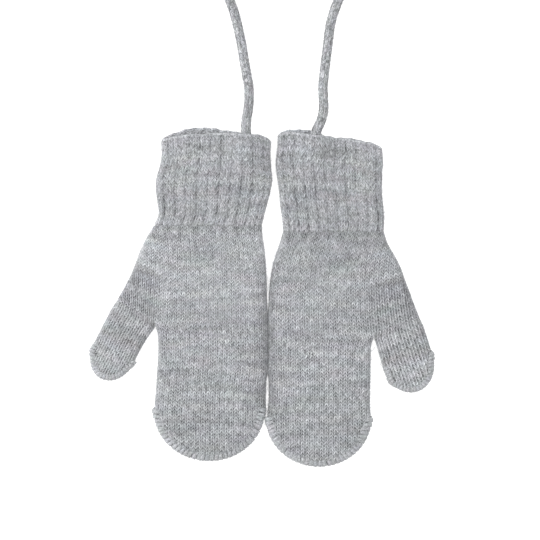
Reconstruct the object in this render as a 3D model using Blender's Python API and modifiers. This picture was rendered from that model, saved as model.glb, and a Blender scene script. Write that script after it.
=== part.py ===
"""A pair of a small child's knitted mittens on their connecting cord, laid flat on a surface.

Each mitten is a ribbed cuff, a plain knitted hand that widens into the thumb's root, a knitted
thumb, and the overlocked seams that close the hand and the thumb. The cuffs are joined by one
round knitted cord. All sizes are in millimetres and become metres when a mesh is written.

World frame: +Z up with the surface at z = 0, +Y from the finger tips towards the cuffs, and +X to
the right. Each mitten is described in its own frame: u runs from its middle line towards its
thumb, and v runs along +Y.
"""

import math
from collections import namedtuple

import bmesh
import bpy
from mathutils import Vector

MM = 0.001

# Cloth
WALL = 2.2                 # thickness of the knitted fabric
FOLD_HEIGHT = 5.0          # front and back layer with the air between them, at a side fold
SEAM_GAP = 0.3             # clearance between two pieces that are knitted or sewn together
CROWN = 1.1                # how far the middle of the hand's front layer stands above its folds
CUFF_CROWN = 0.8           # the same for the cuff
THUMB_CROWN = 0.9          # and for the thumb
CROWN_ROUNDNESS = 0.7      # below 1, the layer rises soon after the fold and is flatter between
CREASE_LIMIT = 1.3         # the deepest that creases may press the front layer down

# Ribbed cuff
RIBS_ROUND = 22            # each rib is two wales wide, and so is the groove beside it
POINTS_PER_RIB = 4         # two on top of the rib and two in the groove
RIB_HEIGHT = 0.6
CORD_LIFT = 3.6            # how far the front layer stands up over the cord's sewn end
CORD_LIFT_REACH = 12.0     # and how far to each side of the cord it does
CUFF_STATIONS = 8

# Hand and thumb
HAND_COLUMNS = 14          # columns across the front of the hand
THUMB_COLUMNS = 6          # columns across the front of the thumb
PALM_STATIONS = 8          # rings from the wrist to the crotch of the thumb
TIP_STATIONS = 6           # rings round the curved end of a hand or a thumb
TIP_END_WIDTH = 7.0        # width of the last of these rings, which is closed flat

# Overlocked seam round a curved end
SEAM_WIDTH = 2.2
SEAM_HEIGHT = 4.2
SEAM_EAR = 0.7             # how far each end of the seam sticks out from the side fold
SEAM_START = 0.8           # degrees round the curved end where the seam begins

# Connecting cord
CORD_DIAMETER = 4.7
CORD_PRESSED = 3.5         # its diameter where it is sewn flat inside a cuff
CORD_POINTS = 15           # points along each run between a cuff and the coil
COIL_CENTRE = (11.0, 186.0)
COIL_MEAN_RADIUS = 27.2
COIL_STRANDS = 2           # turns beside each other, and layers of turns

MouthRow = namedtuple("MouthRow", "across front back")
OutlineRow = namedtuple("OutlineRow", "v inner outer")
Crease = namedtuple("Crease", "u0 v0 u1 v1 width depth")
Tip = namedtuple("Tip", "middle start length half")
RoutePoint = namedtuple("RoutePoint", "x y z diameter")
Mitten = namedtuple(
    "Mitten",
    "name thumb_side middle_x mouth cuff cord_u palm crotch thumb_edge_v hand hand_tip "
    "thumb_root thumb_angle thumb thumb_tip creases",
)

# The left mitten's thumb points to -X, and the right one's to +X. In a mouth, across runs from
# the inner fold, 0, to the thumb's side, 1, and front and back are where each layer ends in v.
LEFT = Mitten(
    name="left",
    thumb_side=-1,
    middle_x=-25.5,
    mouth=(
        MouthRow(0.00, 78.6, 78.6),
        MouthRow(0.05, 80.0, 80.2),
        MouthRow(0.12, 80.9, 81.3),
        MouthRow(0.35, 82.0, 83.0),
        MouthRow(0.65, 81.8, 85.2),
        MouthRow(0.90, 80.4, 82.0),
        MouthRow(1.00, 78.4, 78.8),
    ),
    cuff=(
        OutlineRow(77.8, -30.2, 25.2),
        OutlineRow(71.8, -30.0, 25.0),
        OutlineRow(65.8, -30.3, 26.0),
        OutlineRow(59.8, -30.8, 27.7),
        OutlineRow(53.8, -30.0, 27.9),
        OutlineRow(47.8, -28.5, 27.1),
        OutlineRow(41.8, -27.0, 26.6),
        OutlineRow(36.1, -25.6, 28.6),
    ),
    cord_u=-17.6,
    palm=(
        OutlineRow(35.8, -25.6, 28.8),
        OutlineRow(29.8, -26.0, 32.4),
        OutlineRow(23.8, -26.9, 35.4),
        OutlineRow(17.8, -27.4, 37.6),
        OutlineRow(11.8, -27.8, 40.0),
        OutlineRow(5.8, -28.0, 43.0),
        OutlineRow(-0.2, -28.0, 46.4),
        OutlineRow(-11.8, -28.0, 52.6),
    ),
    crotch=(27.7, -14.2),
    thumb_edge_v=-1.4,
    hand=(
        OutlineRow(-18.0, -28.0, 26.8),
        OutlineRow(-27.0, -28.0, 26.5),
        OutlineRow(-38.0, -27.9, 27.2),
        OutlineRow(-48.0, -27.6, 27.9),
        OutlineRow(-56.6, -27.4, 28.6),
    ),
    hand_tip=Tip(middle=1.0, start=-57.2, length=24.8, half=27.7),
    thumb_root=(38.0, -8.8),
    thumb_angle=28.0,
    thumb=(
        OutlineRow(2.0, -11.6, 12.0),
        OutlineRow(8.4, -10.8, 12.0),
        OutlineRow(15.0, -10.6, 11.9),
        OutlineRow(21.0, -10.8, 11.7),
    ),
    thumb_tip=Tip(middle=0.4, start=22.0, length=14.2, half=11.2),
    creases=(
        Crease(27.0, -11.0, 31.0, 7.0, 3.2, 0.9),
        Crease(-3.0, 34.0, 1.0, 18.0, 4.5, 0.6),
        Crease(12.0, -2.0, 22.0, -16.0, 5.0, 0.4),
    ),
)

RIGHT = Mitten(
    name="right",
    thumb_side=1,
    middle_x=28.5,
    mouth=(
        MouthRow(0.00, 81.0, 81.4),
        MouthRow(0.05, 82.2, 83.0),
        MouthRow(0.12, 82.4, 84.0),
        MouthRow(0.30, 81.8, 83.6),
        MouthRow(0.38, 81.0, 82.6),
        MouthRow(0.46, 80.4, 80.8),
        MouthRow(0.60, 79.8, 80.2),
        MouthRow(0.90, 77.2, 77.6),
        MouthRow(1.00, 74.8, 74.8),
    ),
    cuff=(
        OutlineRow(76.0, -21.0, 31.8),
        OutlineRow(69.0, -21.9, 32.3),
        OutlineRow(62.8, -21.5, 32.0),
        OutlineRow(56.8, -20.6, 31.9),
        OutlineRow(50.8, -20.0, 32.0),
        OutlineRow(44.8, -19.4, 32.7),
        OutlineRow(38.8, -18.6, 33.0),
        OutlineRow(33.1, -18.1, 32.6),
    ),
    cord_u=-2.1,
    palm=(
        OutlineRow(32.8, -18.2, 32.5),
        OutlineRow(26.8, -20.0, 34.5),
        OutlineRow(20.8, -22.0, 38.0),
        OutlineRow(14.8, -23.5, 41.0),
        OutlineRow(8.8, -24.5, 43.1),
        OutlineRow(2.8, -25.0, 45.4),
        OutlineRow(-3.2, -25.2, 47.6),
        OutlineRow(-9.2, -25.3, 50.0),
        OutlineRow(-17.8, -25.3, 53.6),
    ),
    crotch=(27.4, -20.2),
    thumb_edge_v=-9.9,
    hand=(
        OutlineRow(-24.0, -25.3, 26.2),
        OutlineRow(-32.0, -25.3, 26.0),
        OutlineRow(-41.0, -25.2, 25.9),
        OutlineRow(-51.0, -25.2, 25.7),
        OutlineRow(-60.6, -25.3, 26.0),
    ),
    hand_tip=Tip(middle=-0.1, start=-61.4, length=23.4, half=26.2),
    thumb_root=(39.45, -16.15),
    thumb_angle=19.0,
    thumb=(
        OutlineRow(2.0, -12.6, 12.8),
        OutlineRow(7.0, -12.9, 12.8),
        OutlineRow(12.0, -13.2, 12.7),
        OutlineRow(16.2, -13.4, 12.6),
    ),
    thumb_tip=Tip(middle=-0.5, start=17.0, length=15.5, half=12.9),
    creases=(
        Crease(27.0, -17.0, 29.0, -2.0, 3.2, 0.8),
        Crease(3.0, 31.0, 0.0, 16.0, 4.5, 0.6),
        Crease(-12.0, -4.0, 2.0, -14.0, 5.0, 0.4),
    ),
)

# Each run of the cord starts sewn inside its cuff, steps over the back layer's edge down to the
# surface, and lies in slack bends up to the coil of spare length.
CORD_RUNS = {
    "left": (
        RoutePoint(-7.6, 74.6, 4.35, CORD_PRESSED),
        RoutePoint(-7.9, 79.0, 4.40, CORD_PRESSED),
        RoutePoint(-8.0, 84.0, 4.55, 3.8),
        RoutePoint(-7.8, 88.8, 4.10, 4.4),
        RoutePoint(-7.0, 93.8, 3.10, CORD_DIAMETER),
        RoutePoint(-6.5, 99.5, 2.40, CORD_DIAMETER),
        RoutePoint(-6.6, 105.0, 2.40, CORD_DIAMETER),
        RoutePoint(-7.6, 111.0, 2.40, CORD_DIAMETER),
        RoutePoint(-9.0, 118.8, 2.40, CORD_DIAMETER),
        RoutePoint(-10.3, 127.0, 2.40, CORD_DIAMETER),
        RoutePoint(-12.0, 135.0, 2.40, CORD_DIAMETER),
        RoutePoint(-14.2, 143.5, 2.40, CORD_DIAMETER),
        RoutePoint(-16.7, 150.0, 2.40, CORD_DIAMETER),
        RoutePoint(-19.0, 156.5, 2.40, CORD_DIAMETER),
        RoutePoint(-20.7, 164.5, 2.40, CORD_DIAMETER),
        RoutePoint(-21.2, 174.0, 2.40, CORD_DIAMETER),
    ),
    "right": (
        RoutePoint(26.2, 73.4, 4.35, CORD_PRESSED),
        RoutePoint(26.3, 78.0, 4.40, CORD_PRESSED),
        RoutePoint(27.3, 83.4, 4.55, 3.8),
        RoutePoint(29.6, 88.6, 4.10, 4.4),
        RoutePoint(30.8, 93.8, 3.10, CORD_DIAMETER),
        RoutePoint(30.7, 99.5, 2.40, CORD_DIAMETER),
        RoutePoint(30.5, 105.0, 2.40, CORD_DIAMETER),
        RoutePoint(31.1, 112.0, 2.40, CORD_DIAMETER),
        RoutePoint(32.1, 120.0, 2.40, CORD_DIAMETER),
        RoutePoint(33.2, 128.8, 2.40, CORD_DIAMETER),
        RoutePoint(34.2, 136.5, 2.40, CORD_DIAMETER),
        RoutePoint(36.2, 143.6, 2.40, CORD_DIAMETER),
        RoutePoint(38.7, 150.0, 2.40, CORD_DIAMETER),
        RoutePoint(41.0, 156.5, 2.60, CORD_DIAMETER),
        RoutePoint(42.7, 164.5, 3.30, CORD_DIAMETER),
        RoutePoint(43.2, 174.0, 4.70, CORD_DIAMETER),
    ),
}


def blend(low, high, part):
    """Mix two numbers or tuples of numbers."""
    if isinstance(low, tuple):
        return tuple(a + (b - a) * part for a, b in zip(low, high))
    return low + (high - low) * part


def smoothstep(part):
    """Ease from 0 to 1 with no slope at either end."""
    part = min(max(part, 0.0), 1.0)
    return part * part * (3.0 - 2.0 * part)


def spline(xs, ys, x):
    """Read a smooth curve through the points (xs, ys), whose xs rise, at x."""
    last = len(xs) - 1
    x = min(max(x, xs[0]), xs[last])
    i = max(j for j in range(last) if xs[j] <= x)

    def slope(j):
        before, after = max(j - 1, 0), min(j + 1, last)
        return (ys[after] - ys[before]) / (xs[after] - xs[before])

    span = xs[i + 1] - xs[i]
    t = (x - xs[i]) / span
    return (
        ys[i] * (1 + 2 * t) * (1 - t) ** 2
        + slope(i) * span * t * (1 - t) ** 2
        + ys[i + 1] * t * t * (3 - 2 * t)
        - slope(i + 1) * span * t * t * (1 - t)
    )


def read_table(rows, key, value, x):
    """Read one column of a table as a smooth curve over another column."""
    ordered = sorted(rows, key=lambda row: getattr(row, key))
    xs = [getattr(row, key) for row in ordered]
    ys = [getattr(row, value) for row in ordered]
    return spline(xs, ys, x)


def to_world(mitten, u, v, z):
    """Turn a point of a mitten's own frame, in millimetres, into world metres."""
    x = mitten.middle_x + mitten.thumb_side * u
    return Vector((x, v, z)) * MM


def crease_depth(mitten, u, v):
    """How far the soft creases press the front layer down at a point."""
    depth = 0.0
    for crease in mitten.creases:
        run = Vector((crease.u1 - crease.u0, crease.v1 - crease.v0))
        reach = Vector((u - crease.u0, v - crease.v0))
        along = min(max(reach.dot(run) / run.length_squared, 0.0), 1.0)
        away = (reach - run * along).length / crease.width
        depth += crease.depth * math.exp(-away * away) * (1.0 - 0.6 * along)
    return min(depth, CREASE_LIMIT)


class Row:
    """One course of knitting: a line from the inner fold to the outer fold, with a soft knee."""

    def __init__(self, start, knee, end, soft):
        self.start = Vector(start)
        self.knee = Vector(knee)
        self.end = Vector(end)
        self.first = (self.knee - self.start).length
        self.length = self.first + (self.end - self.knee).length
        self.soft = min(soft, self.first * 0.9, (self.length - self.first) * 0.9)

    def straight(self, distance):
        if distance <= self.first:
            return self.start.lerp(self.knee, distance / self.first)
        part = (distance - self.first) / (self.length - self.first)
        return self.knee.lerp(self.end, part)

    def at(self, distance):
        """The point at a distance along the line, with the knee rounded off."""
        low, high = self.first - self.soft, self.first + self.soft
        if self.soft <= 0.0 or not low < distance < high:
            return self.straight(distance)
        t = (distance - low) / (high - low)
        a, b = self.straight(low), self.straight(high)
        return a * (1 - t) ** 2 + self.knee * (2 * t * (1 - t)) + b * t * t


def plain_row(start, end):
    """A course that runs straight from fold to fold."""
    return Row(start, Vector(start).lerp(Vector(end), 0.5), end, 0.0)


def front_height(mitten, row, distance, point, crown):
    """Height of the front layer's outer face above its folds."""
    part = min(max(distance / row.length, 0.0), 1.0)
    swell = math.sin(math.pi * part) ** CROWN_ROUNDNESS
    return (crown - crease_depth(mitten, point.x, point.y)) * swell


def fold_points(mitten, row, inset, at_start):
    """The three points round a side fold, from the front layer to the back one."""
    radius = FOLD_HEIGHT / 2 - inset
    points = []
    for angle in (45, 0, -45):
        from_end = inset + radius * (1 - math.cos(math.radians(angle)))
        distance = from_end if at_start else row.length - from_end
        z = FOLD_HEIGHT / 2 + radius * math.sin(math.radians(angle))
        point = row.at(distance)
        points.append(to_world(mitten, point.x, point.y, z))
    return points


def layer_points(mitten, row, inset, counts, shares, crown):
    """Points of the front and of the back layer, column by column.

    counts holds the columns on each side of the crotch's column, and shares where that column
    lies along the row. A row with one stretch gives a single count.
    """
    radius = FOLD_HEIGHT / 2 - inset
    low, high = inset + radius, row.length - inset - radius
    stops = [low] + [row.length * share for share in shares] + [high]
    distances = [low]
    for count, a, b in zip(counts, stops, stops[1:]):
        distances += [blend(a, b, (i + 1) / count) for i in range(count)]
    front, back = [], []
    for distance in distances:
        point = row.at(distance)
        rise = front_height(mitten, row, distance, point, crown)
        front.append(to_world(mitten, point.x, point.y, FOLD_HEIGHT - inset + rise))
        back.append(to_world(mitten, point.x, point.y, inset))
    return front, back


def ring_of(start_fold, front, end_fold, back):
    """Order the points of one ring, from the front round the outer fold to the back."""
    return start_fold[1::-1] + front + end_fold + back[::-1] + start_fold[2:]


def flat_ring(mitten, row, inset, count, crown):
    """A whole ring of a tube that lies flat."""
    front, back = layer_points(mitten, row, inset, (count,), (), crown)
    return ring_of(
        fold_points(mitten, row, inset, True),
        front,
        fold_points(mitten, row, inset, False),
        back,
    )


def add_ring(bm, points):
    return [bm.verts.new(point) for point in points]


def bridge(bm, ring_a, ring_b):
    """Join two rings of the same number of vertices with quads."""
    count = len(ring_a)
    for i in range(count):
        j = (i + 1) % count
        bm.faces.new((ring_a[i], ring_a[j], ring_b[j], ring_b[i]))


def loft(bm, rings):
    for ring_a, ring_b in zip(rings, rings[1:]):
        bridge(bm, ring_a, ring_b)


def finish_mesh(bm, name, material, collection):
    """Turn the closed bmesh into a named object of its own."""
    bmesh.ops.recalc_face_normals(bm, faces=bm.faces[:])
    mesh = bpy.data.meshes.new(name)
    bm.to_mesh(mesh)
    bm.free()
    mesh.materials.append(material)
    mesh.shade_smooth()
    mesh.set_sharp_from_angle(angle=math.radians(50))
    body = bpy.data.objects.new(name, mesh)
    collection.objects.link(body)
    return body


def stadium(length, inset, count):
    """Even steps round a flattened tube: distance along the row, height, and outward direction."""
    radius = FOLD_HEIGHT / 2 - inset
    straight = length - 2 * inset - 2 * radius
    arc = math.pi * radius
    around = 2 * (straight + arc)
    steps = []
    for i in range(count):
        s = around * i / count
        if s < arc / 2 or s >= around - arc / 2:
            angle = math.pi - s / radius if s < arc / 2 else math.pi + (around - s) / radius
            centre = inset + radius
        elif s < arc / 2 + straight:
            steps.append((inset + radius + s - arc / 2, FOLD_HEIGHT - inset, 0.0, 1.0))
            continue
        elif s < arc * 1.5 + straight:
            angle = math.pi / 2 - (s - arc / 2 - straight) / radius
            centre = length - inset - radius
        else:
            back = s - arc * 1.5 - straight
            steps.append((length - inset - radius - back, inset, 0.0, -1.0))
            continue
        across, up = math.cos(angle), math.sin(angle)
        steps.append((centre + radius * across, FOLD_HEIGHT / 2 + radius * up, across, up))
    return steps


def cord_lift(mitten, u, down):
    """Rise of the front layer over the cord's sewn end, at a distance down from the mouth."""
    away = min(abs(u - mitten.cord_u) / CORD_LIFT_REACH, 1.0)
    return CORD_LIFT * math.cos(away * math.pi / 2) ** 1.6 * (1.0 - smoothstep((down - 6.0) / 20.0))


def cuff_ring(mitten, station, inset, ribbed):
    """One ring of the cuff, from the wavy mouth, 0, to the straight wrist, 1."""
    wrist_v = mitten.cuff[-1].v
    count = POINTS_PER_RIB * RIBS_ROUND
    corner_v = blend(mitten.mouth[0].front, wrist_v, station)
    far_v = blend(mitten.mouth[-1].front, wrist_v, station)
    inner = read_table(mitten.cuff, "v", "inner", corner_v) + RIB_HEIGHT
    outer = read_table(mitten.cuff, "v", "outer", far_v) - RIB_HEIGHT
    length = outer - inner
    points = []
    for i, (distance, z, across, up) in enumerate(stadium(length, inset, count)):
        on_rib = i % POINTS_PER_RIB < POINTS_PER_RIB // 2
        raised = RIB_HEIGHT if ribbed and on_rib and up > -0.7 else 0.0
        share = min(max(distance / length, 0.0), 1.0)
        front_part = (z - inset) / (FOLD_HEIGHT - 2 * inset)
        mouth_v = blend(
            read_table(mitten.mouth, "across", "back", share),
            read_table(mitten.mouth, "across", "front", share),
            smoothstep(front_part),
        )
        v = blend(mouth_v, wrist_v, station)
        u = inner + distance
        down = mouth_v - v
        rise = cord_lift(mitten, u, down) * smoothstep(front_part)
        if z > FOLD_HEIGHT / 2:
            rise += CUFF_CROWN * math.sin(math.pi * share) ** CROWN_ROUNDNESS
        points.append(to_world(mitten, u + across * raised, v, z + rise + up * raised))
    return points


def make_cuff(mitten, material, collection):
    """The ribbed cuff: ribs in the outer face, a plain inner face, and both ends open."""
    bm = bmesh.new()
    stations = [i / (CUFF_STATIONS - 1) for i in range(CUFF_STATIONS)]
    outer = [add_ring(bm, cuff_ring(mitten, s, 0.0, True)) for s in stations]
    inner = [add_ring(bm, cuff_ring(mitten, s, WALL, False)) for s in stations]
    loft(bm, outer)
    loft(bm, inner)
    bridge(bm, outer[0], inner[0])
    bridge(bm, outer[-1], inner[-1])
    finish_mesh(bm, mitten.name + "_cuff", material, collection)


def palm_row(mitten, part):
    """A course between the wrist, 0, and the crotch, 1, and its crotch column's share."""
    wrist_v = mitten.palm[0].v
    row_v = mitten.crotch[1] + FOLD_HEIGHT / 2
    hand_v = blend(wrist_v, row_v, part)
    edge_v = blend(wrist_v, mitten.thumb_edge_v, part)
    start = (read_table(mitten.palm, "v", "inner", hand_v), hand_v)
    end = (read_table(mitten.palm, "v", "outer", edge_v), edge_v)
    even_share = HAND_COLUMNS / (HAND_COLUMNS + THUMB_COLUMNS)
    knee_u = blend(blend(start[0], end[0], even_share), mitten.crotch[0], part)
    row = Row(start, (knee_u, hand_v), end, blend(9.0, 1.0, part))
    return row, row.first / row.length


def palm_pieces(mitten, part, inset):
    """The folds and layers of one course above the crotch."""
    row, share = palm_row(mitten, part)
    counts = (HAND_COLUMNS, THUMB_COLUMNS)
    front, back = layer_points(mitten, row, inset, counts, (share,), CROWN)
    return (
        fold_points(mitten, row, inset, True),
        front,
        fold_points(mitten, row, inset, False),
        back,
    )


def crotch_fold(mitten, inset):
    """The three points where the crotch turns from the front layer to the back one."""
    u, v = mitten.crotch
    radius = FOLD_HEIGHT / 2 - inset
    points = []
    for angle in (45, 0, -45):
        drop = inset + radius * (1 - math.cos(math.radians(angle)))
        z = FOLD_HEIGHT / 2 + radius * math.sin(math.radians(angle))
        points.append(to_world(mitten, u, v + drop, z))
    return points


def tip_courses(tip, inset):
    """Courses of a curved end, inside its seam: distance past its start, and the row's two ends."""
    hem = SEAM_WIDTH + SEAM_GAP
    half, length = tip.half - hem, tip.length - hem
    end = math.sqrt(1.0 - (TIP_END_WIDTH / 2 / half) ** 2)
    courses = []
    for i in range(TIP_STATIONS + 1):
        past = end * math.sin(math.pi / 2 * i / TIP_STATIONS) * (length - inset)
        width = half * math.sqrt(1.0 - (past / length) ** 2)
        courses.append((past, tip.middle - width, tip.middle + width))
    return courses


def hand_courses(mitten, inset):
    """Rows of the hand below the crotch, down to its curved end."""
    rows = [plain_row((r.inner, r.v), (r.outer, r.v)) for r in mitten.hand]
    for past, inner, outer in tip_courses(mitten.hand_tip, inset):
        v = mitten.hand_tip.start - past
        rows.append(plain_row((inner, v), (outer, v)))
    return rows


def make_hand(mitten, material, collection):
    """The hand: one wide tube from the wrist that parts at the crotch into hand and thumb."""
    bm = bmesh.new()
    wrists, thumb_rims = [], []
    for inset in (0.0, WALL):
        rings = []
        for i in range(PALM_STATIONS - 1):
            pieces = palm_pieces(mitten, i / (PALM_STATIONS - 1), inset)
            rings.append(add_ring(bm, ring_of(*pieces)))
        start, front, end, back = (add_ring(bm, p) for p in palm_pieces(mitten, 1.0, inset))
        crotch = add_ring(bm, crotch_fold(mitten, inset))
        rings.append(ring_of(start, front, end, back))
        loft(bm, rings)
        split = HAND_COLUMNS
        hand_rings = [ring_of(start, front[: split + 1], crotch, back[: split + 1])]
        for row in hand_courses(mitten, inset):
            hand_rings.append(add_ring(bm, flat_ring(mitten, row, inset, split, CROWN)))
        loft(bm, hand_rings)
        bm.faces.new(hand_rings[-1])
        wrists.append(rings[0])
        thumb_rims.append(ring_of(crotch, front[split:], end, back[split:]))
    bridge(bm, *wrists)
    bridge(bm, *thumb_rims)
    finish_mesh(bm, mitten.name + "_hand", material, collection)


def thumb_point(mitten, along, across):
    """A point of the thumb: along its axis from its root, and across it, away from the hand."""
    angle = math.radians(mitten.thumb_angle)
    u, v = mitten.thumb_root
    return (
        u + along * math.sin(angle) + across * math.cos(angle),
        v - along * math.cos(angle) + across * math.sin(angle),
    )


def thumb_base(mitten, inset):
    """The hand's thumb rim again, moved one seam gap along the thumb and clear of the crotch."""
    pieces = palm_pieces(mitten, 1.0, inset)
    angle = math.radians(mitten.thumb_angle)
    side = mitten.thumb_side
    step = Vector((side * math.sin(angle), -math.cos(angle), 0.0)) * (SEAM_GAP * MM)
    aside = Vector((side * math.cos(angle), math.sin(angle), 0.0)) * (SEAM_GAP * MM)
    crotch = [point + step + aside for point in crotch_fold(mitten, inset)]
    front, end, back = (
        [point + step for point in piece]
        for piece in (pieces[1][HAND_COLUMNS:], pieces[2], pieces[3][HAND_COLUMNS:])
    )
    return ring_of(crotch, front, end, back)


def thumb_courses(mitten, inset):
    """Rows of the thumb from below its root to its curved end."""
    stretches = [(row.v, row.inner, row.outer) for row in mitten.thumb]
    for past, inner, outer in tip_courses(mitten.thumb_tip, inset):
        stretches.append((mitten.thumb_tip.start + past, inner, outer))
    return [
        plain_row(thumb_point(mitten, along, inner), thumb_point(mitten, along, outer))
        for along, inner, outer in stretches
    ]


def make_thumb(mitten, material, collection):
    """The thumb: a tube from the hand's rim to its own curved end."""
    bm = bmesh.new()
    rims = []
    for inset in (0.0, WALL):
        rings = [add_ring(bm, thumb_base(mitten, inset))]
        for row in thumb_courses(mitten, inset):
            points = flat_ring(mitten, row, inset, THUMB_COLUMNS, THUMB_CROWN)
            rings.append(add_ring(bm, points))
        loft(bm, rings)
        bm.faces.new(rings[-1])
        rims.append(rings[0])
    bridge(bm, *rims)
    finish_mesh(bm, mitten.name + "_thumb", material, collection)


def make_seam(mitten, name, tip, place, steps, material, collection):
    """The overlocked seam that closes a curved end: a low rounded strip with an ear at each end."""
    bm = bmesh.new()
    half, length = tip.half - SEAM_WIDTH / 2, tip.length - SEAM_WIDTH / 2
    rings = []
    for i in range(steps + 1):
        angle = math.radians(blend(SEAM_START, 180.0 - SEAM_START, i / steps))
        ear = SEAM_EAR * (1.0 - smoothstep(min(i, steps - i) / 2.5))
        out = Vector((math.cos(angle) / half, math.sin(angle) / length)).normalized()
        middle = Vector((half * math.cos(angle), length * math.sin(angle))) + out * ear
        points = []
        for corner in range(8):
            turn = math.radians(22.5 + 45.0 * corner)
            reach = (SEAM_WIDTH / 2) * math.cos(turn) / math.cos(math.radians(22.5))
            z = FOLD_HEIGHT / 2 + (SEAM_HEIGHT / 2) * math.sin(turn) / math.cos(math.radians(22.5))
            spot = middle + out * reach
            u, v = place(tip.start + spot.y, tip.middle + spot.x)
            points.append(to_world(mitten, u, v, z))
        rings.append(add_ring(bm, points))
    loft(bm, rings)
    bm.faces.new(rings[0])
    bm.faces.new(rings[-1])
    finish_mesh(bm, mitten.name + name, material, collection)


def make_seams(mitten, material, collection):
    """Both seams of one mitten."""
    tip = mitten.hand_tip

    def on_hand(along, across):
        return across, 2 * tip.start - along

    def on_thumb(along, across):
        return thumb_point(mitten, along, across)

    make_seam(mitten, "_tip_seam", tip, on_hand, 26, material, collection)
    make_seam(mitten, "_thumb_seam", mitten.thumb_tip, on_thumb, 16, material, collection)


def make_cord_run(side, material, collection):
    """One run of the cord, as a bevelled curve through the run's own points."""
    route = CORD_RUNS[side]
    travel = [0.0]
    for a, b in zip(route, route[1:]):
        travel.append(travel[-1] + math.dist(a[:3], b[:3]))
    curve = bpy.data.curves.new("cord_" + side, "CURVE")
    curve.dimensions = "3D"
    curve.bevel_depth = CORD_DIAMETER / 2 * MM
    curve.bevel_resolution = 3
    curve.use_fill_caps = True
    line = curve.splines.new("POLY")
    line.points.add(CORD_POINTS - 1)
    for i, point in enumerate(line.points):
        at = travel[-1] * i / (CORD_POINTS - 1)
        x, y, z, diameter = (spline(travel, column, at) for column in zip(*route))
        point.co = (x * MM, y * MM, z * MM, 1.0)
        point.radius = diameter / CORD_DIAMETER
    curve.materials.append(material)
    collection.objects.link(bpy.data.objects.new("cord_" + side, curve))


def make_coil(material, collection):
    """The cord's spare length, wound up: one turned ring of the coil's outer shape."""
    band = COIL_STRANDS * CORD_DIAMETER
    corner = CORD_DIAMETER / 2
    profile = []
    for start, x, z in ((90, 1, 1), (0, 1, -1), (-90, -1, -1), (-180, -1, 1)):
        for step in range(4):
            angle = math.radians(start - 30 * step)
            profile.append(Vector((
                COIL_MEAN_RADIUS + x * (band / 2 - corner) + corner * math.cos(angle),
                0.0,
                band / 2 + z * (band / 2 - corner) + corner * math.sin(angle),
            )) * MM)
    mesh = bpy.data.meshes.new("cord_coil")
    count = len(profile)
    mesh.from_pydata(profile, [(i, (i + 1) % count) for i in range(count)], [])
    mesh.materials.append(material)
    ring = bpy.data.objects.new("cord_coil", mesh)
    ring.location = Vector((*COIL_CENTRE, 0.0)) * MM
    collection.objects.link(ring)
    turn = ring.modifiers.new("Turn", "SCREW")
    turn.axis = "Z"
    turn.steps = turn.render_steps = 32
    turn.use_merge_vertices = True
    turn.merge_threshold = 0.00001
    turn.use_smooth_shade = True


def yarn(name, colour, roughness):
    """A plain knitted material in one of the heather greys."""
    material = bpy.data.materials.new(name)
    material.use_nodes = True
    shader = material.node_tree.nodes["Principled BSDF"]
    shader.inputs["Base Color"].default_value = (*colour, 1.0)
    shader.inputs["Roughness"].default_value = roughness
    shader.inputs["Metallic"].default_value = 0.0
    return material


def clear_scene():
    for old in list(bpy.data.objects):
        bpy.data.objects.remove(old, do_unlink=True)


def main():
    clear_scene()
    collection = bpy.data.collections.new("pair_of_mittens")
    bpy.context.scene.collection.children.link(collection)
    rib = yarn("rib_knit", (0.385, 0.395, 0.415), 0.95)
    plain = yarn("plain_knit", (0.400, 0.411, 0.430), 0.95)
    thumb = yarn("thumb_knit", (0.365, 0.372, 0.386), 0.95)
    seam = yarn("overlock_thread", (0.450, 0.460, 0.475), 0.90)
    cord = yarn("cord_knit", (0.360, 0.370, 0.385), 0.95)
    for mitten in (LEFT, RIGHT):
        make_cuff(mitten, rib, collection)
        make_hand(mitten, plain, collection)
        make_thumb(mitten, thumb, collection)
        make_seams(mitten, seam, collection)
    for side in CORD_RUNS:
        make_cord_run(side, cord, collection)
    make_coil(cord, collection)


main()
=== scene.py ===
# %% [markdown]
# # A pair of small child's knitted mittens
#
# The mittens lie flat beside each other, joined by the cord that keeps a child from losing one.
# Everything that the eye reads here is yarn: ribs at the cuff, rows of V-shaped stitches on the
# hand, and threads whipped over the curved seams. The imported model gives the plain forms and
# their places. This script knits over them, and each new piece hides the plain form under it.

import math
from collections import namedtuple

import bpy
import numpy as np
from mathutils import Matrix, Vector


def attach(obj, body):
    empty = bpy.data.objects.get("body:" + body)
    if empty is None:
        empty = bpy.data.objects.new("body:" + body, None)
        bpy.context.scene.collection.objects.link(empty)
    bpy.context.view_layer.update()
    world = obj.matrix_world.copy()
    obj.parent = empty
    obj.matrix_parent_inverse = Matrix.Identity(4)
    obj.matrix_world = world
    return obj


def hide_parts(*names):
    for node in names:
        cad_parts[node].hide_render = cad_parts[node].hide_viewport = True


MM = 0.001  # a millimetre in metres: the sizes in this script are in millimetres
UP = np.array([0.0, 0.0, 1.0])
SEED = 7

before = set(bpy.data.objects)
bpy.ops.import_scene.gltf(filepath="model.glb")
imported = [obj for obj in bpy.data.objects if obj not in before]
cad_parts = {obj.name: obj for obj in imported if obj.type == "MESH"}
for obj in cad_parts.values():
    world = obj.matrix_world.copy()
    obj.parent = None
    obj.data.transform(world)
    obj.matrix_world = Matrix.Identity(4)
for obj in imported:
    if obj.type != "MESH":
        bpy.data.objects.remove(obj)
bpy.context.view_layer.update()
chance = np.random.default_rng(SEED)
print("plain forms:", len(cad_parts))

# %% [markdown]
# ## Camera
#
# The mittens are seen from straight above. A long lens from 1.5 m keeps the thick cuffs and the
# thin tips at one scale, which is half a millimetre of cloth for each pixel of a 540-pixel
# picture.

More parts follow.
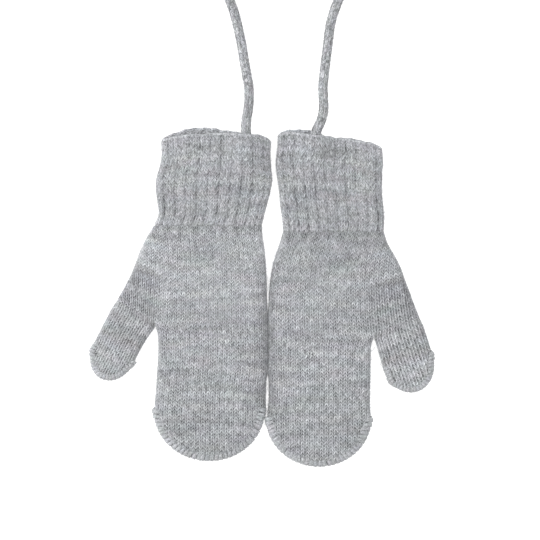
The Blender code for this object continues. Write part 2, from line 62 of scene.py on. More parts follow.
# %% Camera straight above
PIXEL = 0.5
PICTURE_SIDE = 540
VIEW_MIDDLE = (4.0, 13.75)
CLOTH_LEVEL = 4.0
CAMERA_HEIGHT = 1500.0
SENSOR_WIDTH = 36.0

camera_data = bpy.data.cameras.new("camera")
camera_data.sensor_width = SENSOR_WIDTH
camera_data.lens = SENSOR_WIDTH * (CAMERA_HEIGHT - CLOTH_LEVEL) / (PIXEL * PICTURE_SIDE)
camera = bpy.data.objects.new("camera", camera_data)
camera.location = Vector((*VIEW_MIDDLE, CAMERA_HEIGHT)) * MM
bpy.context.scene.collection.objects.link(camera)
bpy.context.scene.camera = camera
print("lens:", round(camera_data.lens, 1), "mm")

# %% [markdown]
# ## Reading smooth curves
#
# Outlines and routes are short tables of real sizes. A smooth curve through a table's rows gives
# the size at any place between them, for one place or for many thousands at once.


# %% Curves through tables
def ease(part):
    """Go from 0 to 1 with no slope at either end."""
    part = np.clip(part, 0.0, 1.0)
    return part * part * (3.0 - 2.0 * part)


def read_curve(xs, ys, x):
    """Read a smooth curve through the points (xs, ys) at x."""
    order = np.argsort(xs)
    xs, ys = np.asarray(xs, float)[order], np.asarray(ys, float)[order]
    steps = np.diff(ys) / np.diff(xs)
    slopes = np.concatenate((steps[:1], (ys[2:] - ys[:-2]) / (xs[2:] - xs[:-2]), steps[-1:]))
    x = np.clip(x, xs[0], xs[-1])
    i = np.clip(np.searchsorted(xs, x, "right") - 1, 0, len(xs) - 2)
    span = xs[i + 1] - xs[i]
    t = (x - xs[i]) / span
    return (
        ys[i] * (1 + 2 * t) * (1 - t) ** 2
        + slopes[i] * span * t * (1 - t) ** 2
        + ys[i + 1] * t * t * (3 - 2 * t)
        - slopes[i + 1] * span * t * t * (1 - t)
    )


def unit(vectors):
    """Scale each vector to length 1."""
    return vectors / np.maximum(np.linalg.norm(vectors, axis=-1, keepdims=True), 1e-9)


# %% [markdown]
# ## Sewing grids of points into a mesh
#
# Knitting is a grid: wales run along the mitten and courses run across it. So each stretch of
# cloth is made as a grid of points with numpy, which is quick for a hundred thousand of them.
# Points of two grids at one place become one vertex, and that closes folds and seams. Two notes
# go with the points for the yarn's colour: how much painted shade each one takes, mostly from how
# deep it lies between the stitches, and a small difference in tone from stitch to stitch.

# %% Grids to mesh
WELD_STEP = 0.0005  # points that agree to this step become one vertex
Grid = namedtuple("Grid", "points stitch hollow tone keep flip")


def make_grid(points, stitch, hollow, tone, keep=None, flip=False):
    """A grid of points with its notes. keep leaves out cells, and flip turns them over."""
    rows, columns = points.shape[:2]
    if keep is None:
        keep = np.ones((rows - 1, columns - 1), bool)
    return Grid(points, stitch, hollow, tone, keep, flip)


def grid_corners(grid, first):
    """The four point numbers of each kept cell of a grid."""
    rows, columns = grid.points.shape[:2]
    number = np.arange(rows * columns).reshape(rows, columns) + first
    cells = [number[:-1, :-1], number[:-1, 1:], number[1:, 1:], number[1:, :-1]]
    if grid.flip:
        cells.reverse()
    return np.stack(cells, -1)[grid.keep]


def drop_collapsed(corners, shared):
    """Split cells into quads and triangles, and drop those with no area."""
    ids = shared[corners]
    same = ids == np.roll(ids, -1, axis=1)
    pairs = same.sum(1)
    crossed = (ids[:, 0] == ids[:, 2]) | (ids[:, 1] == ids[:, 3])
    quads = (pairs == 0) & ~crossed
    triangles = (pairs == 1) & ~crossed
    turn = (np.argmax(same[triangles], axis=1)[:, None] + np.array([1, 2, 3])) % 4
    return quads, triangles, np.take_along_axis(corners[triangles], turn, axis=1)


def sew(name, grids, material):
    """Join grids, in world millimetres, into one mesh object that rides on the root body."""
    points = np.concatenate([g.points.reshape(-1, 3) for g in grids])
    stitch = np.concatenate([g.stitch.reshape(-1, 2) for g in grids])
    hollow = np.concatenate([g.hollow.reshape(-1) for g in grids])
    _, first, shared = np.unique(
        np.round(points / WELD_STEP), axis=0, return_index=True, return_inverse=True
    )
    shared = shared.reshape(-1)
    starts = np.cumsum([0] + [g.points.shape[0] * g.points.shape[1] for g in grids])
    corners = np.concatenate([grid_corners(g, s) for g, s in zip(grids, starts)])
    tones = np.concatenate([g.tone[g.keep] for g in grids])
    quads, triangles, three = drop_collapsed(corners, shared)
    tones = np.concatenate((tones[quads], tones[triangles]))
    four = corners[quads]
    mesh = bpy.data.meshes.new(name)
    faces = shared[four].tolist() + shared[three].tolist()
    mesh.from_pydata((points[first] * MM).tolist(), [], faces)
    used = np.concatenate((four.ravel(), three.ravel()))
    layer = mesh.uv_layers.new(name="stitch")
    layer.data.foreach_set("uv", stitch[used].astype(np.float32).ravel())
    # the painted shade note: how deep each point lies, or a shade that is set for it directly
    depth = mesh.attributes.new("hollow", "FLOAT", "POINT")
    depth.data.foreach_set("value", hollow[first].astype(np.float32))
    shade = mesh.attributes.new("tone", "FLOAT", "FACE")
    shade.data.foreach_set("value", tones.astype(np.float32))
    mesh.shade_smooth()
    mesh.materials.append(material)
    piece = bpy.data.objects.new(name, mesh)
    bpy.context.scene.collection.objects.link(piece)
    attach(piece, "root")
    print(name, len(four) * 2 + len(three), "triangles")
    return piece


def cell_areas(points):
    """Area of each cell of a grid of points."""
    one, two = points[1:, 1:] - points[:-1, :-1], points[1:, :-1] - points[:-1, 1:]
    return np.linalg.norm(np.cross(one, two), axis=-1) / 2


def cut_area(points, keep):
    """Area of a grid's kept cells, in square metres: the cloth that is knitted for it."""
    return cell_areas(points)[keep].sum() * MM * MM


def lay_cloth(piece, width, length, area):
    """Print what size a piece of cloth was cut to, in millimetres, and its area."""
    print(piece.name, "cut:", round(width), "x", round(length), "mm,", round(area * 1e4), "cm2")


def face_normals_of(points, facing=1.0):
    """Directions square to a grid of points, from the slopes along its rows and columns.

    facing is 1 for cloth that looks up and -1 for cloth that looks down. Rows that were held at
    one place have no slope, so they take the direction of the row beside.
    """
    along = np.gradient(points, axis=0)
    across = np.gradient(points, axis=1)
    square = np.cross(across, along)
    known = np.linalg.norm(square, axis=-1) > 1e-7
    row = np.arange(len(points))[:, None]
    before = np.maximum.accumulate(np.where(known, row, -1), axis=0)
    after = np.minimum.accumulate(np.where(known, row, len(points))[::-1], axis=0)[::-1]
    source = np.where(before >= 0, before, np.minimum(after, len(points) - 1))
    square = unit(np.take_along_axis(square, source[..., None], axis=0))
    return -square if np.median(square[..., 2] * facing) < 0 else square


def travelled(points):
    """Distance along a line of points, from its first point to each of them."""
    return np.concatenate(([0.0], np.cumsum(np.linalg.norm(np.diff(points, axis=0), axis=1))))


def rings_round(middles, side, wide, high):
    """Rings of points round a line, from how far each stands off it sideways and upwards."""
    above = np.cross(side, unit(np.gradient(middles, axis=0)))
    return (
        middles[:, None, :]
        + side[:, None, :] * wide[:, :, None]
        + above[:, None, :] * high[:, :, None]
    )


# %% [markdown]
# ## Heather yarn
#
# The yarn is spun from light and dark fibres, so no stitch has quite the colour of the next, and
# a darker or lighter length of yarn shows as a streak along its course. The material follows the
# stitches through their own coordinates: the first counts wales, the second counts courses, and
# the yarn runs along the first. Streaks, single stitches and fibres each add a little. Down
# between the stitches shade is painted into the colour, darker the deeper a point lies, and a
# sheen stands for the fine hairs on it.

# %% Yarn material
YARNS = {
    # slot: grey, strength of the streaks, strength of the flecks
    "rib_knit": ((0.240, 0.246, 0.256), 0.90, 4.3),
    "plain_knit": ((0.316, 0.324, 0.337), 0.90, 2.7),
    "thumb_knit": ((0.306, 0.313, 0.324), 0.70, 2.8),
    "overlock_thread": ((0.276, 0.283, 0.294), 0.80, 2.6),
    "cord_knit": ((0.230, 0.236, 0.245), 0.35, 4.6),
}
YARN_NOISE = {
    # name: how fine it is along the yarn and from course to course, detail, roughness
    "long_streak": (0.045, 0.38, 1.5, 0.6),
    "course_streak": (0.12, 0.9, 2.0, 0.6),
    "fibres": (3.0, 9.0, 3.0, 0.7),
    "flecks": (3.0, 2.2, 2.0, 0.8),
    "tint": (0.16, 0.34, 1.0, 0.5),
}
YARN_SURFACE = {
    "Roughness": 0.92,
    "Specular IOR Level": 0.25,
    "Sheen Weight": 0.22,
    "Sheen Roughness": 0.45,
}
FIBRE_CONTRAST = 0.9
PAINTED_CAVITY_SHADE = 0.75  # painted shade: how much darker per millimetre down between the stitches
TINT = 0.07


class Nodes:
    """A short way to add shader nodes and to link them."""

    def __init__(self, material):
        material.use_nodes = True
        self.tree = material.node_tree
        self.shader = self.tree.nodes["Principled BSDF"]

    def add(self, kind, settings=(), **inputs):
        """Add a node. An input is named, or is i and its number where names repeat."""
        node = self.tree.nodes.new(kind)
        for key, value in dict(settings).items():
            setattr(node, key, value)
        for key, value in inputs.items():
            socket = node.inputs[int(key[1:])] if key[0] == "i" else node.inputs[key]
            self.set(socket, value)
        return node

    def set(self, socket, value):
        """Link another node's output to a socket, or give it a plain value."""
        if isinstance(value, bpy.types.NodeSocket):
            self.tree.links.new(value, socket)
        else:
            socket.default_value = value

    def maths(self, operation, a, b=0.0, c=0.0):
        """The result of one sum."""
        node = self.add("ShaderNodeMath", {"operation": operation}, i0=a, i1=b)
        if operation == "MULTIPLY_ADD":
            self.set(node.inputs[2], c)
        return node.outputs[0]

    def noise(self, stitch, along_yarn, by_course, detail, rough):
        """Noise that is stretched along the yarn."""
        settings, scale = {"operation": "MULTIPLY"}, (along_yarn, by_course, 1.0)
        place = self.add("ShaderNodeVectorMath", settings, i0=stitch, i1=scale).outputs[0]
        node = self.add(
            "ShaderNodeTexNoise", Vector=place, Scale=1.0, Detail=detail, Roughness=rough
        )
        return node.outputs

    def swing(self, value, amount, middle=0.5):
        """Turn a value about its middle into a factor about 1."""
        offset = self.maths("SUBTRACT", value, middle)
        return self.maths("MULTIPLY_ADD", offset, amount, 1.0)


def make_yarn(slot, grey, streak, fleck):
    """Heather yarn for one of the record's slots."""
    material = bpy.data.materials.new(slot)
    n = Nodes(material)
    stitch = n.add("ShaderNodeUVMap", {"uv_map": "stitch"}).outputs["UV"]
    noise = {name: n.noise(stitch, *numbers) for name, numbers in YARN_NOISE.items()}
    tone = n.add("ShaderNodeAttribute", {"attribute_name": "tone"}).outputs["Fac"]
    hollow = n.add("ShaderNodeAttribute", {"attribute_name": "hollow"}).outputs["Fac"]
    light, *factors = (
        n.swing(noise["long_streak"]["Fac"], streak),
        n.swing(noise["course_streak"]["Fac"], streak * 0.5),
        n.swing(noise["fibres"]["Fac"], FIBRE_CONTRAST),
        n.swing(noise["flecks"]["Fac"], fleck),
        tone,
        # painted shade: darker where a point lies deeper between the stitches
        n.swing(hollow, -PAINTED_CAVITY_SHADE, 0.3),
    )
    for factor in factors:
        light = n.maths("MULTIPLY", light, factor)
    tint = n.add(
        "ShaderNodeMix",
        {"data_type": "RGBA", "blend_type": "SOFT_LIGHT"},
        i0=TINT,
        i6=(*grey, 1.0),
        i7=noise["tint"]["Color"],
    )
    colour = n.add(
        "ShaderNodeVectorMath", {"operation": "SCALE"}, i0=tint.outputs[2], Scale=light
    )
    n.set(n.shader.inputs["Base Color"], colour.outputs[0])
    for name, value in YARN_SURFACE.items():
        n.shader.inputs[name].default_value = value
    height = noise["fibres"]["Fac"]
    bump = n.add("ShaderNodeBump", Strength=0.35, Distance=0.0003, Height=height)
    n.set(n.shader.inputs["Normal"], bump.outputs["Normal"])
    return material


yarns = {slot: make_yarn(slot, *look) for slot, look in YARNS.items()}
print("yarns:", ", ".join(yarns))

# %% [markdown]
# ## The connecting cord
#
# One round knitted cord runs from cuff to cuff. It is longer than the space between them, as a
# child's arms need, so its spare length is wound into a coil beyond the cuffs: two turns beside
# each other, and two layers. The route goes up from the left cuff, winds clockwise from the outer
# turn inwards, steps up a layer, winds outwards, and comes down to the right cuff. It is modelled
# as knitting on a tube that follows this route, so the wales can run along the cord as they do in
# the real one.

# %% Route of the cord
CORD_DIAMETER = 4.7
CORD_PRESSED = 3.5
COIL_CENTRE = (11.0, 186.0)
INNER_TURN = 24.85
OUTER_TURN = 29.55
LOW, HIGH = CORD_DIAMETER / 2, CORD_DIAMETER * 1.5
CORD_STEP = 0.62

LEFT_RUN = np.array([
    # x, y, height of the cord's middle, thickness
    (-7.6, 74.6, 4.35, CORD_PRESSED),
    (-7.9, 79.0, 4.40, CORD_PRESSED),
    (-8.0, 84.0, 4.55, 3.8),
    (-7.8, 88.8, 4.10, 4.4),
    (-7.0, 93.8, 3.10, CORD_DIAMETER),
    (-6.5, 99.5, 2.40, CORD_DIAMETER),
    (-6.6, 105.0, 2.40, CORD_DIAMETER),
    (-7.6, 111.0, 2.40, CORD_DIAMETER),
    (-9.0, 118.8, 2.40, CORD_DIAMETER),
    (-10.3, 127.0, 2.40, CORD_DIAMETER),
    (-12.0, 135.0, 2.40, CORD_DIAMETER),
    (-14.2, 143.5, 2.40, CORD_DIAMETER),
    (-16.7, 150.0, 2.40, CORD_DIAMETER),
    (-19.0, 156.5, 2.40, CORD_DIAMETER),
    (-20.7, 164.5, 2.40, CORD_DIAMETER),
    (-21.2, 174.0, 2.40, CORD_DIAMETER),
])
RIGHT_RUN = np.array([
    (26.2, 73.4, 4.35, CORD_PRESSED),
    (26.3, 78.0, 4.40, CORD_PRESSED),
    (27.3, 83.4, 4.55, 3.8),
    (29.6, 88.6, 4.10, 4.4),
    (30.8, 93.8, 3.10, CORD_DIAMETER),
    (30.7, 99.5, 2.40, CORD_DIAMETER),
    (30.5, 105.0, 2.40, CORD_DIAMETER),
    (31.1, 112.0, 2.40, CORD_DIAMETER),
    (32.1, 120.0, 2.40, CORD_DIAMETER),
    (33.2, 128.8, 2.40, CORD_DIAMETER),
    (34.2, 136.5, 2.40, CORD_DIAMETER),
    (36.2, 143.6, 2.40, CORD_DIAMETER),
    (38.7, 150.0, 2.40, CORD_DIAMETER),
    (41.0, 156.5, 2.60, CORD_DIAMETER),
    (42.7, 164.5, 3.30, CORD_DIAMETER),
    (43.2, 174.0, 4.70, CORD_DIAMETER),
])


def coil_points(start, end):
    """The wound part of the cord, from the left run's last point to the right run's."""
    centre = np.array(COIL_CENTRE)
    enter, leave = start[:2] - centre, end[:2] - centre
    first = math.degrees(math.atan2(enter[1], enter[0])) % 360.0
    last = math.degrees(math.atan2(leave[1], leave[0]))
    total = first - last + 3 * 360.0
    turned = np.linspace(0.0, total, int(total / 8.0))[1:-1]
    turns = (
        (0.0, np.hypot(*enter), start[2]),
        (55.0, OUTER_TURN, LOW),
        (330.0, OUTER_TURN, LOW),
        (400.0, INNER_TURN, LOW),
        (675.0, INNER_TURN, LOW),
        (745.0, INNER_TURN, HIGH),
        (1040.0, INNER_TURN, HIGH),
        (1100.0, OUTER_TURN, HIGH),
        (total - 45.0, OUTER_TURN, HIGH),
        (total, np.hypot(*leave), end[2]),
    )
    at, radii, heights = (np.array(column) for column in zip(*turns))
    step = np.clip(np.searchsorted(at, turned, "right") - 1, 0, len(at) - 2)
    part = ease((turned - at[step]) / (at[step + 1] - at[step]))
    radius = radii[step] + (radii[step + 1] - radii[step]) * part
    height = heights[step] + (heights[step + 1] - heights[step]) * part
    angle = np.radians(first - turned)
    return np.stack((
        centre[0] + radius * np.cos(angle),
        centre[1] + radius * np.sin(angle),
        height,
        np.full_like(radius, CORD_DIAMETER),
    ), axis=-1)


def even_steps(route, step):
    """Points at even steps on a smooth curve through a route."""
    travel = travelled(route[:, :3])
    at = np.linspace(0.0, travel[-1], int(round(travel[-1] / step)) + 1)
    return np.stack([read_curve(travel, column, at) for column in route.T], axis=-1)


route = np.concatenate((LEFT_RUN, coil_points(LEFT_RUN[-1], RIGHT_RUN[-1]), RIGHT_RUN[::-1]))
cord_line = even_steps(route, CORD_STEP)

# %% Knit the cord
CORD_WALES = 6
CORD_STEPS = 4  # columns of points for each wale
CORD_ROWS = 3  # points of the line for each course
CORD_BLOOM = 0.25
CORD_ACROSS = np.array([0.40, 0.02, 0.14, 0.02])
CORD_ALONG = 0.26
hair_beds = {"cord": [], "left": [], "right": []}  # the surfaces that loose fibres grow on


def knit_cord(name, line, material):
    """A knitted tube round a line: six wales along it, with a groove between each two."""
    middles, radius = line[:, :3], line[:, 3:4] / 2
    side = unit(np.cross(unit(np.gradient(middles, axis=0)), UP))
    columns = CORD_WALES * CORD_STEPS + 1
    column = np.arange(columns)
    turn = math.pi / 2 + 2 * math.pi * column / (columns - 1)
    in_wale = (column % CORD_STEPS) / CORD_STEPS
    row = np.arange(len(line))
    in_course = (row[:, None] + CORD_ROWS * 2 * np.abs(in_wale - 0.5)[None, :]) / CORD_ROWS
    across = CORD_ACROSS[column % CORD_STEPS]
    dip = across[None, :] + CORD_ALONG * (0.5 + 0.5 * np.cos(2 * math.pi * in_course))
    reach = radius + CORD_BLOOM - dip
    wider = reach + 1.2 * (CORD_DIAMETER / 2 - radius)
    points = rings_round(middles, side, wider * np.cos(turn), reach * np.sin(turn))
    points[..., 2] = np.maximum(points[..., 2], 0.02)
    stitch = np.stack(np.broadcast_arrays(column[None, :] / CORD_STEPS, in_course), axis=-1)
    legs = chance.normal(1.0, 0.20, (len(line) // CORD_ROWS + 2, CORD_WALES * 2 + 1))
    tone = legs[np.ix_(row[:-1] // CORD_ROWS, column[:-1] // 2)]
    hair_beds["cord"].append(points)
    return sew(name, [make_grid(points, stitch, dip, tone)], material)


cord_piece = knit_cord("connecting_cord", cord_line, yarns["cord_knit"])
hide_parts("cord_left", "cord_coil", "cord_right")

# %% [markdown]
# ## The outlines of the mittens
#
# Each mitten is described in its own frame: u runs from its middle line towards its thumb, and v
# runs from the finger tips towards the cuff. The tables hold where the cloth's inner and outer
# edges are at a few places along it, the mouth's wavy line, and the rounded ends. They are the
# same real sizes as in the imported model, so the knitting lies where the plain forms are.
#
# Three entries are touches of their own. nudge lets the inner edge swell where the two mittens
# touch. palm_tone says how light the upper palm is. The last one says over how many wales, and
# how much, the cloth is painted darker towards the inner edge: a painted shadow where the two
# mittens touch and shade each other.

# %% Outline tables
Tip = namedtuple("Tip", "middle start length half")
Crease = namedtuple("Crease", "u0 v0 u1 v1 width depth")
Mitten = namedtuple(
    "Mitten",
    "name thumb_side middle_x mouth cuff cord_u palm crotch thumb_edge_v hand nudge hand_tip "
    "thumb_root thumb_angle thumb thumb_tip creases hand_wales thumb_wales palm_tone "
    "edge_shade",
)

LEFT = Mitten(
    name="left",
    thumb_side=-1,
    middle_x=-25.5,
    mouth=np.array([
        # share across, front edge, back edge
        (0.00, 78.6, 78.6),
        (0.05, 80.0, 80.2),
        (0.12, 80.9, 81.3),
        (0.35, 82.0, 83.0),
        (0.65, 81.8, 85.2),
        (0.90, 80.4, 82.0),
        (1.00, 78.4, 78.8),
    ]),
    cuff=np.array([
        # v, inner edge, outer edge
        (77.8, -30.2, 25.2),
        (71.8, -30.0, 25.0),
        (65.8, -30.3, 26.0),
        (59.8, -30.8, 27.7),
        (53.8, -30.0, 27.9),
        (47.8, -28.5, 27.1),
        (41.8, -27.0, 26.6),
        (36.1, -25.6, 28.6),
    ]),
    cord_u=-17.6,
    palm=np.array([
        (35.8, -25.6, 28.8),
        (29.8, -26.0, 32.4),
        (23.8, -26.9, 35.4),
        (17.8, -27.4, 37.6),
        (11.8, -27.8, 40.0),
        (5.8, -28.0, 43.0),
        (-0.2, -28.0, 46.4),
        (-11.8, -28.0, 52.6),
    ]),
    crotch=(27.7, -14.2),
    thumb_edge_v=-1.4,
    hand=np.array([
        (-18.0, -28.0, 26.8),
        (-27.0, -28.0, 26.5),
        (-38.0, -27.9, 27.2),
        (-48.0, -27.6, 27.9),
        (-56.6, -27.4, 28.6),
    ]),
    nudge=np.array([
        # v, how far the inner edge swells towards the other mitten
        (4.0, 0.0),
        (-4.0, 0.25),
        (-9.0, 0.52),
        (-37.5, 0.55),
        (-42.0, 0.0),
        (-52.0, 0.0),
        (-57.0, 0.25),
    ]),
    hand_tip=Tip(middle=1.0, start=-57.2, length=24.8, half=27.7),
    thumb_root=(38.0, -8.8),
    thumb_angle=28.0,
    thumb=np.array([
        # distance along the thumb, inner edge, outer edge
        (2.0, -11.6, 12.0),
        (8.4, -10.8, 12.0),
        (15.0, -10.6, 11.9),
        (21.0, -10.8, 11.7),
    ]),
    thumb_tip=Tip(middle=0.4, start=22.0, length=14.2, half=11.2),
    creases=(
        Crease(27.0, -11.0, 31.0, 7.0, 3.2, 0.9),
        Crease(-3.0, 34.0, 1.0, 18.0, 4.5, 0.6),
        Crease(12.0, -2.0, 22.0, -16.0, 5.0, 0.4),
        Crease(1.5, 37.0, 3.5, 53.0, 3.6, 0.7),
        Crease(-16.0, 36.0, -18.5, 50.0, 3.6, 0.4),
    ),
    hand_wales=25,
    thumb_wales=10,
    palm_tone=0.95,
    # painted shadow where the two mittens touch: the wales it spans, and how much darker
    edge_shade=(5.0, 0.22),
)

RIGHT = Mitten(
    name="right",
    thumb_side=1,
    middle_x=28.5,
    # the tables have the same columns as the left mitten's
    mouth=np.array([
        (0.00, 81.0, 81.4),
        (0.05, 82.2, 83.0),
        (0.12, 82.4, 84.0),
        (0.30, 81.8, 83.6),
        (0.38, 81.0, 82.6),
        (0.46, 80.4, 80.8),
        (0.60, 79.8, 80.2),
        (0.90, 77.2, 77.6),
        (1.00, 74.8, 74.8),
    ]),
    cuff=np.array([
        (76.0, -21.0, 31.8),
        (69.0, -21.9, 32.3),
        (62.8, -21.5, 32.0),
        (56.8, -20.6, 31.9),
        (50.8, -20.0, 32.0),
        (44.8, -19.4, 32.7),
        (38.8, -18.6, 33.0),
        (33.1, -18.1, 32.6),
    ]),
    cord_u=-2.1,
    palm=np.array([
        (32.8, -18.2, 32.5),
        (26.8, -20.0, 34.5),
        (20.8, -22.0, 38.0),
        (14.8, -23.5, 41.0),
        (8.8, -24.5, 43.1),
        (2.8, -25.0, 45.4),
        (-3.2, -25.2, 47.6),
        (-9.2, -25.3, 50.0),
        (-17.8, -25.3, 53.6),
    ]),
    crotch=(27.4, -20.2),
    thumb_edge_v=-9.9,
    hand=np.array([
        (-24.0, -25.3, 26.2),
        (-32.0, -25.3, 26.0),
        (-41.0, -25.2, 25.9),
        (-51.0, -25.2, 25.7),
        (-60.6, -25.3, 26.0),
    ]),
    nudge=np.array([
        (6.0, 0.0),
        (-3.0, 0.2),
        (-9.0, 0.44),
        (-37.5, 0.48),
        (-42.0, 0.15),
        (-52.0, 0.15),
        (-58.0, 0.65),
        (-61.4, 0.5),
    ]),
    hand_tip=Tip(middle=-0.1, start=-61.4, length=23.4, half=26.2),
    thumb_root=(39.45, -16.15),
    thumb_angle=19.0,
    thumb=np.array([
        (2.0, -12.6, 12.8),
        (7.0, -12.9, 12.8),
        (12.0, -13.2, 12.7),
        (16.2, -13.4, 12.6),
    ]),
    thumb_tip=Tip(middle=-0.5, start=17.0, length=15.5, half=12.9),
    creases=(
        Crease(27.0, -17.0, 29.0, -2.0, 3.2, 0.8),
        Crease(3.0, 31.0, 0.0, 16.0, 4.5, 0.6),
        Crease(-12.0, -4.0, 2.0, -14.0, 5.0, 0.4),
        Crease(9.5, 35.0, 10.5, 52.0, 3.6, 0.7),
        Crease(-6.0, 34.0, -7.5, 47.0, 3.6, 0.4),
    ),
    hand_wales=23,
    thumb_wales=9,
    palm_tone=0.86,
    # painted shadow where the two mittens touch: the wales it spans, and how much darker
    edge_shade=(3.0, 0.30),
)
MITTENS = (LEFT, RIGHT)

# %% [markdown]
# ## Cloth that lies flat on itself
#
# A mitten that is laid down is a flattened tube. Its front and back layers lie on each other, and
# the cloth turns round a soft fold at each side. A stitch keeps its width as it goes round the
# fold, so seen from above the stitches look narrower there. These helpers give the height of the
# cloth near an edge, the place of a stitch round a fold, and the soft creases of the top layer.

# %% Folds and creases
FOLD_HEIGHT = 5.0
FOLD_RADIUS = FOLD_HEIGHT / 2
FOLD_EXTRA = (math.pi / 2 - 1) * FOLD_RADIUS  # cloth that a side fold takes up in its turn
FOLD_CLOSES_OVER = 4.0
CLOTH_THICKNESS = 2.2
CROWN = 1.1  # how much higher the front is in its middle than at its folds
THUMB_CROWN = 0.9
CUFF_CROWN = 0.8
CROWN_ROUNDNESS = 0.7
CREASE_LIMIT = 1.3
CREASE_FADE = 0.6
DIP_DEPTH = 0.3


def to_world(m, u, v, z):
    """Turn places in a mitten's own frame into world places, both in millimetres."""
    return np.stack(np.broadcast_arrays(m.middle_x + m.thumb_side * u, v, z), axis=-1)


def round_edge(reach, radius=FOLD_RADIUS):
    """Half height of a folded edge as a part of its radius, at a distance from the extreme."""
    return np.sqrt(1.0 - (1.0 - np.clip(reach / radius, 0.0, 1.0)) ** 2)


def round_fold(s, flat_length, radius=FOLD_RADIUS, far_fold=True):
    """Turn a distance over the cloth, from the extreme of a side fold, into one along the row."""
    arc = math.pi / 2 * radius
    extra = arc - radius
    near = radius * (1.0 - np.cos(np.clip(s, 0.0, arc) / radius))
    across = np.where(s < arc, near, s - extra)
    if far_fold:
        left = np.clip(flat_length + 2 * extra - s, 0.0, None)
        far = flat_length - radius * (1.0 - np.cos(np.clip(left, 0.0, arc) / radius))
        across = np.where(left < arc, far, across)
    return across


def closing_fold(share, length, open_side, past):
    """Distance across a tube with one open side, which folds as the tube goes past its opening."""
    folded = round_fold(share * (length + 2 * FOLD_EXTRA), length)
    across = open_side + (folded - open_side) * ease(past / FOLD_CLOSES_OVER)
    return np.clip(across, 0.0, length)


def on_fold(reach, over):
    """Which points lie on a side fold, and not on the curved end."""
    return (reach <= 1e-6) & ~over


def crease_depth(m, u, v):
    """How far the soft creases press the front layer down at each point."""
    depth = np.zeros(np.broadcast(u, v).shape)
    for c in m.creases:
        run_u, run_v = c.u1 - c.u0, c.v1 - c.v0
        along = ((u - c.u0) * run_u + (v - c.v0) * run_v) / (run_u**2 + run_v**2)
        along = np.clip(along, 0.0, 1.0)
        away = np.hypot(u - c.u0 - run_u * along, v - c.v0 - run_v * along) / c.width
        depth += c.depth * np.exp(-away * away) * (1.0 - CREASE_FADE * along)
    return np.minimum(depth, CREASE_LIMIT)


def soft_unevenness(u, v, phase):
    """Shallow, wide dips of cloth that was laid down by hand, from 0 to about 1."""
    wave = (
        np.sin(u * 0.13 + v * 0.05 + phase)
        + np.sin(v * 0.11 - u * 0.07 + 2.1 * phase)
        + 0.7 * np.sin(u * 0.23 + 1.7 + phase) * np.sin(v * 0.19 - phase)
    )
    return np.clip(0.5 + wave / 5.4, 0.0, 1.0)


def front_rise(m, share, u, v, crown):
    """Height of the front layer above its folds."""
    swell = np.sin(math.pi * np.clip(share, 0.0, 1.0)) ** CROWN_ROUNDNESS
    dips = crease_depth(m, u, v) + DIP_DEPTH * soft_unevenness(u, v, m.thumb_side * 1.3)
    return (crown - dips) * swell


# %% [markdown]
# ## Stitches
#
# Each plain stitch shows as a V with its point towards the finger tips. If the grid's rows zigzag
# with the legs of the V, every leg is a small field of cells of its own, high in its middle and
# low where it dives under its neighbours. That is real relief, so it catches light from any side
# and casts its own small shadows. The cloth only dips inwards from the plain form's surface, so
# the pair keeps its size and lies flat on its underside. The inner face needs fewer rows, because
# it is hidden in the mitten.

# %% Stitch relief
WALE_STEPS = 4  # columns of cells for each wale, and rows of cells for each course
COURSE_STEPS = 4
JOINT_DIP = 0.30  # depth of the points that two pieces share
FOLD_DIP = 0.15  # depth of the points on a side fold
INNER_FACE = 2.0
# wales that are added in each stretch of cloth, so that no two have the same streaks
THUMB_YARN, CUFF_YARN, CUFF_INSIDE_YARN, LINING_YARN = 50.0, 90.0, 140.0, 200.0


def zigzag(wales, courses, lean=1.0):
    """Wale and course of each point of a grid whose rows follow the legs of the stitches.

    The grid starts and ends past the cloth, so that its zigzag can be cut straight.
    """
    column = np.arange(wales * WALE_STEPS + 1)
    row = np.arange(-int(COURSE_STEPS * lean), (courses + 1) * COURSE_STEPS + 1)
    wale = np.broadcast_to(column / WALE_STEPS, (len(row), len(column)))
    yarn_course = np.broadcast_to(row[:, None] / COURSE_STEPS, wale.shape)
    course = yarn_course - lean * 2 * (np.abs(wale % 1.0 - 0.5) - 0.25)
    return wale, np.clip(course, 0.0, courses), yarn_course, row, column


def leg_relief(row, column, across, along, uneven=0.35):
    """How deep each point of a grid of stitches lies, in millimetres."""
    wide = np.asarray(across)[column % WALE_STEPS]
    high = np.asarray(along)[row % COURSE_STEPS]
    depth = wide[None, :] + high[:, None]
    shape = ((row.max() - row.min()) // COURSE_STEPS + 3, column.max() // 2 + 2)
    luck = 1.0 + uneven * chance.uniform(-1.0, 1.0, shape)
    return depth * luck[np.ix_((row - row.min()) // COURSE_STEPS, column // 2)]


def leg_tones(row, column, spread=0.09):
    """A small difference in tone for each leg of each stitch, cell by cell."""
    shape = ((row.max() - row.min()) // COURSE_STEPS + 2, column.max() // 2 + 2)
    tones = chance.normal(1.0, spread, shape)
    return tones[np.ix_((row[:-1] - row.min()) // COURSE_STEPS, column[:-1] // 2)]


def sparse_rows(wale, courses):
    """Wale and course of each point of a grid that has a row only at some courses."""
    course = np.broadcast_to(np.array(courses, float)[:, None], (len(courses), wale.shape[1]))
    return np.broadcast_to(wale[0], course.shape), course


def plain_grid(points, wale, course, keep, flip):
    """The inner face of the cloth, which is hidden in the mitten and stays plain."""
    stitch = np.stack((wale + LINING_YARN, course), axis=-1)
    rows, columns = points.shape[:2]
    # The inner face takes a little painted shade all over.
    hollow = np.full((rows, columns), 0.4)
    tone = np.full((rows - 1, columns - 1), 0.95)
    return make_grid(points, stitch, hollow, tone, keep, flip)


def settle(depth, reach, still):
    """Make relief fainter at the side folds, and leave none on points that are held still."""
    return np.where(still, 0.0, depth * ease(reach / 0.8 + 0.45))


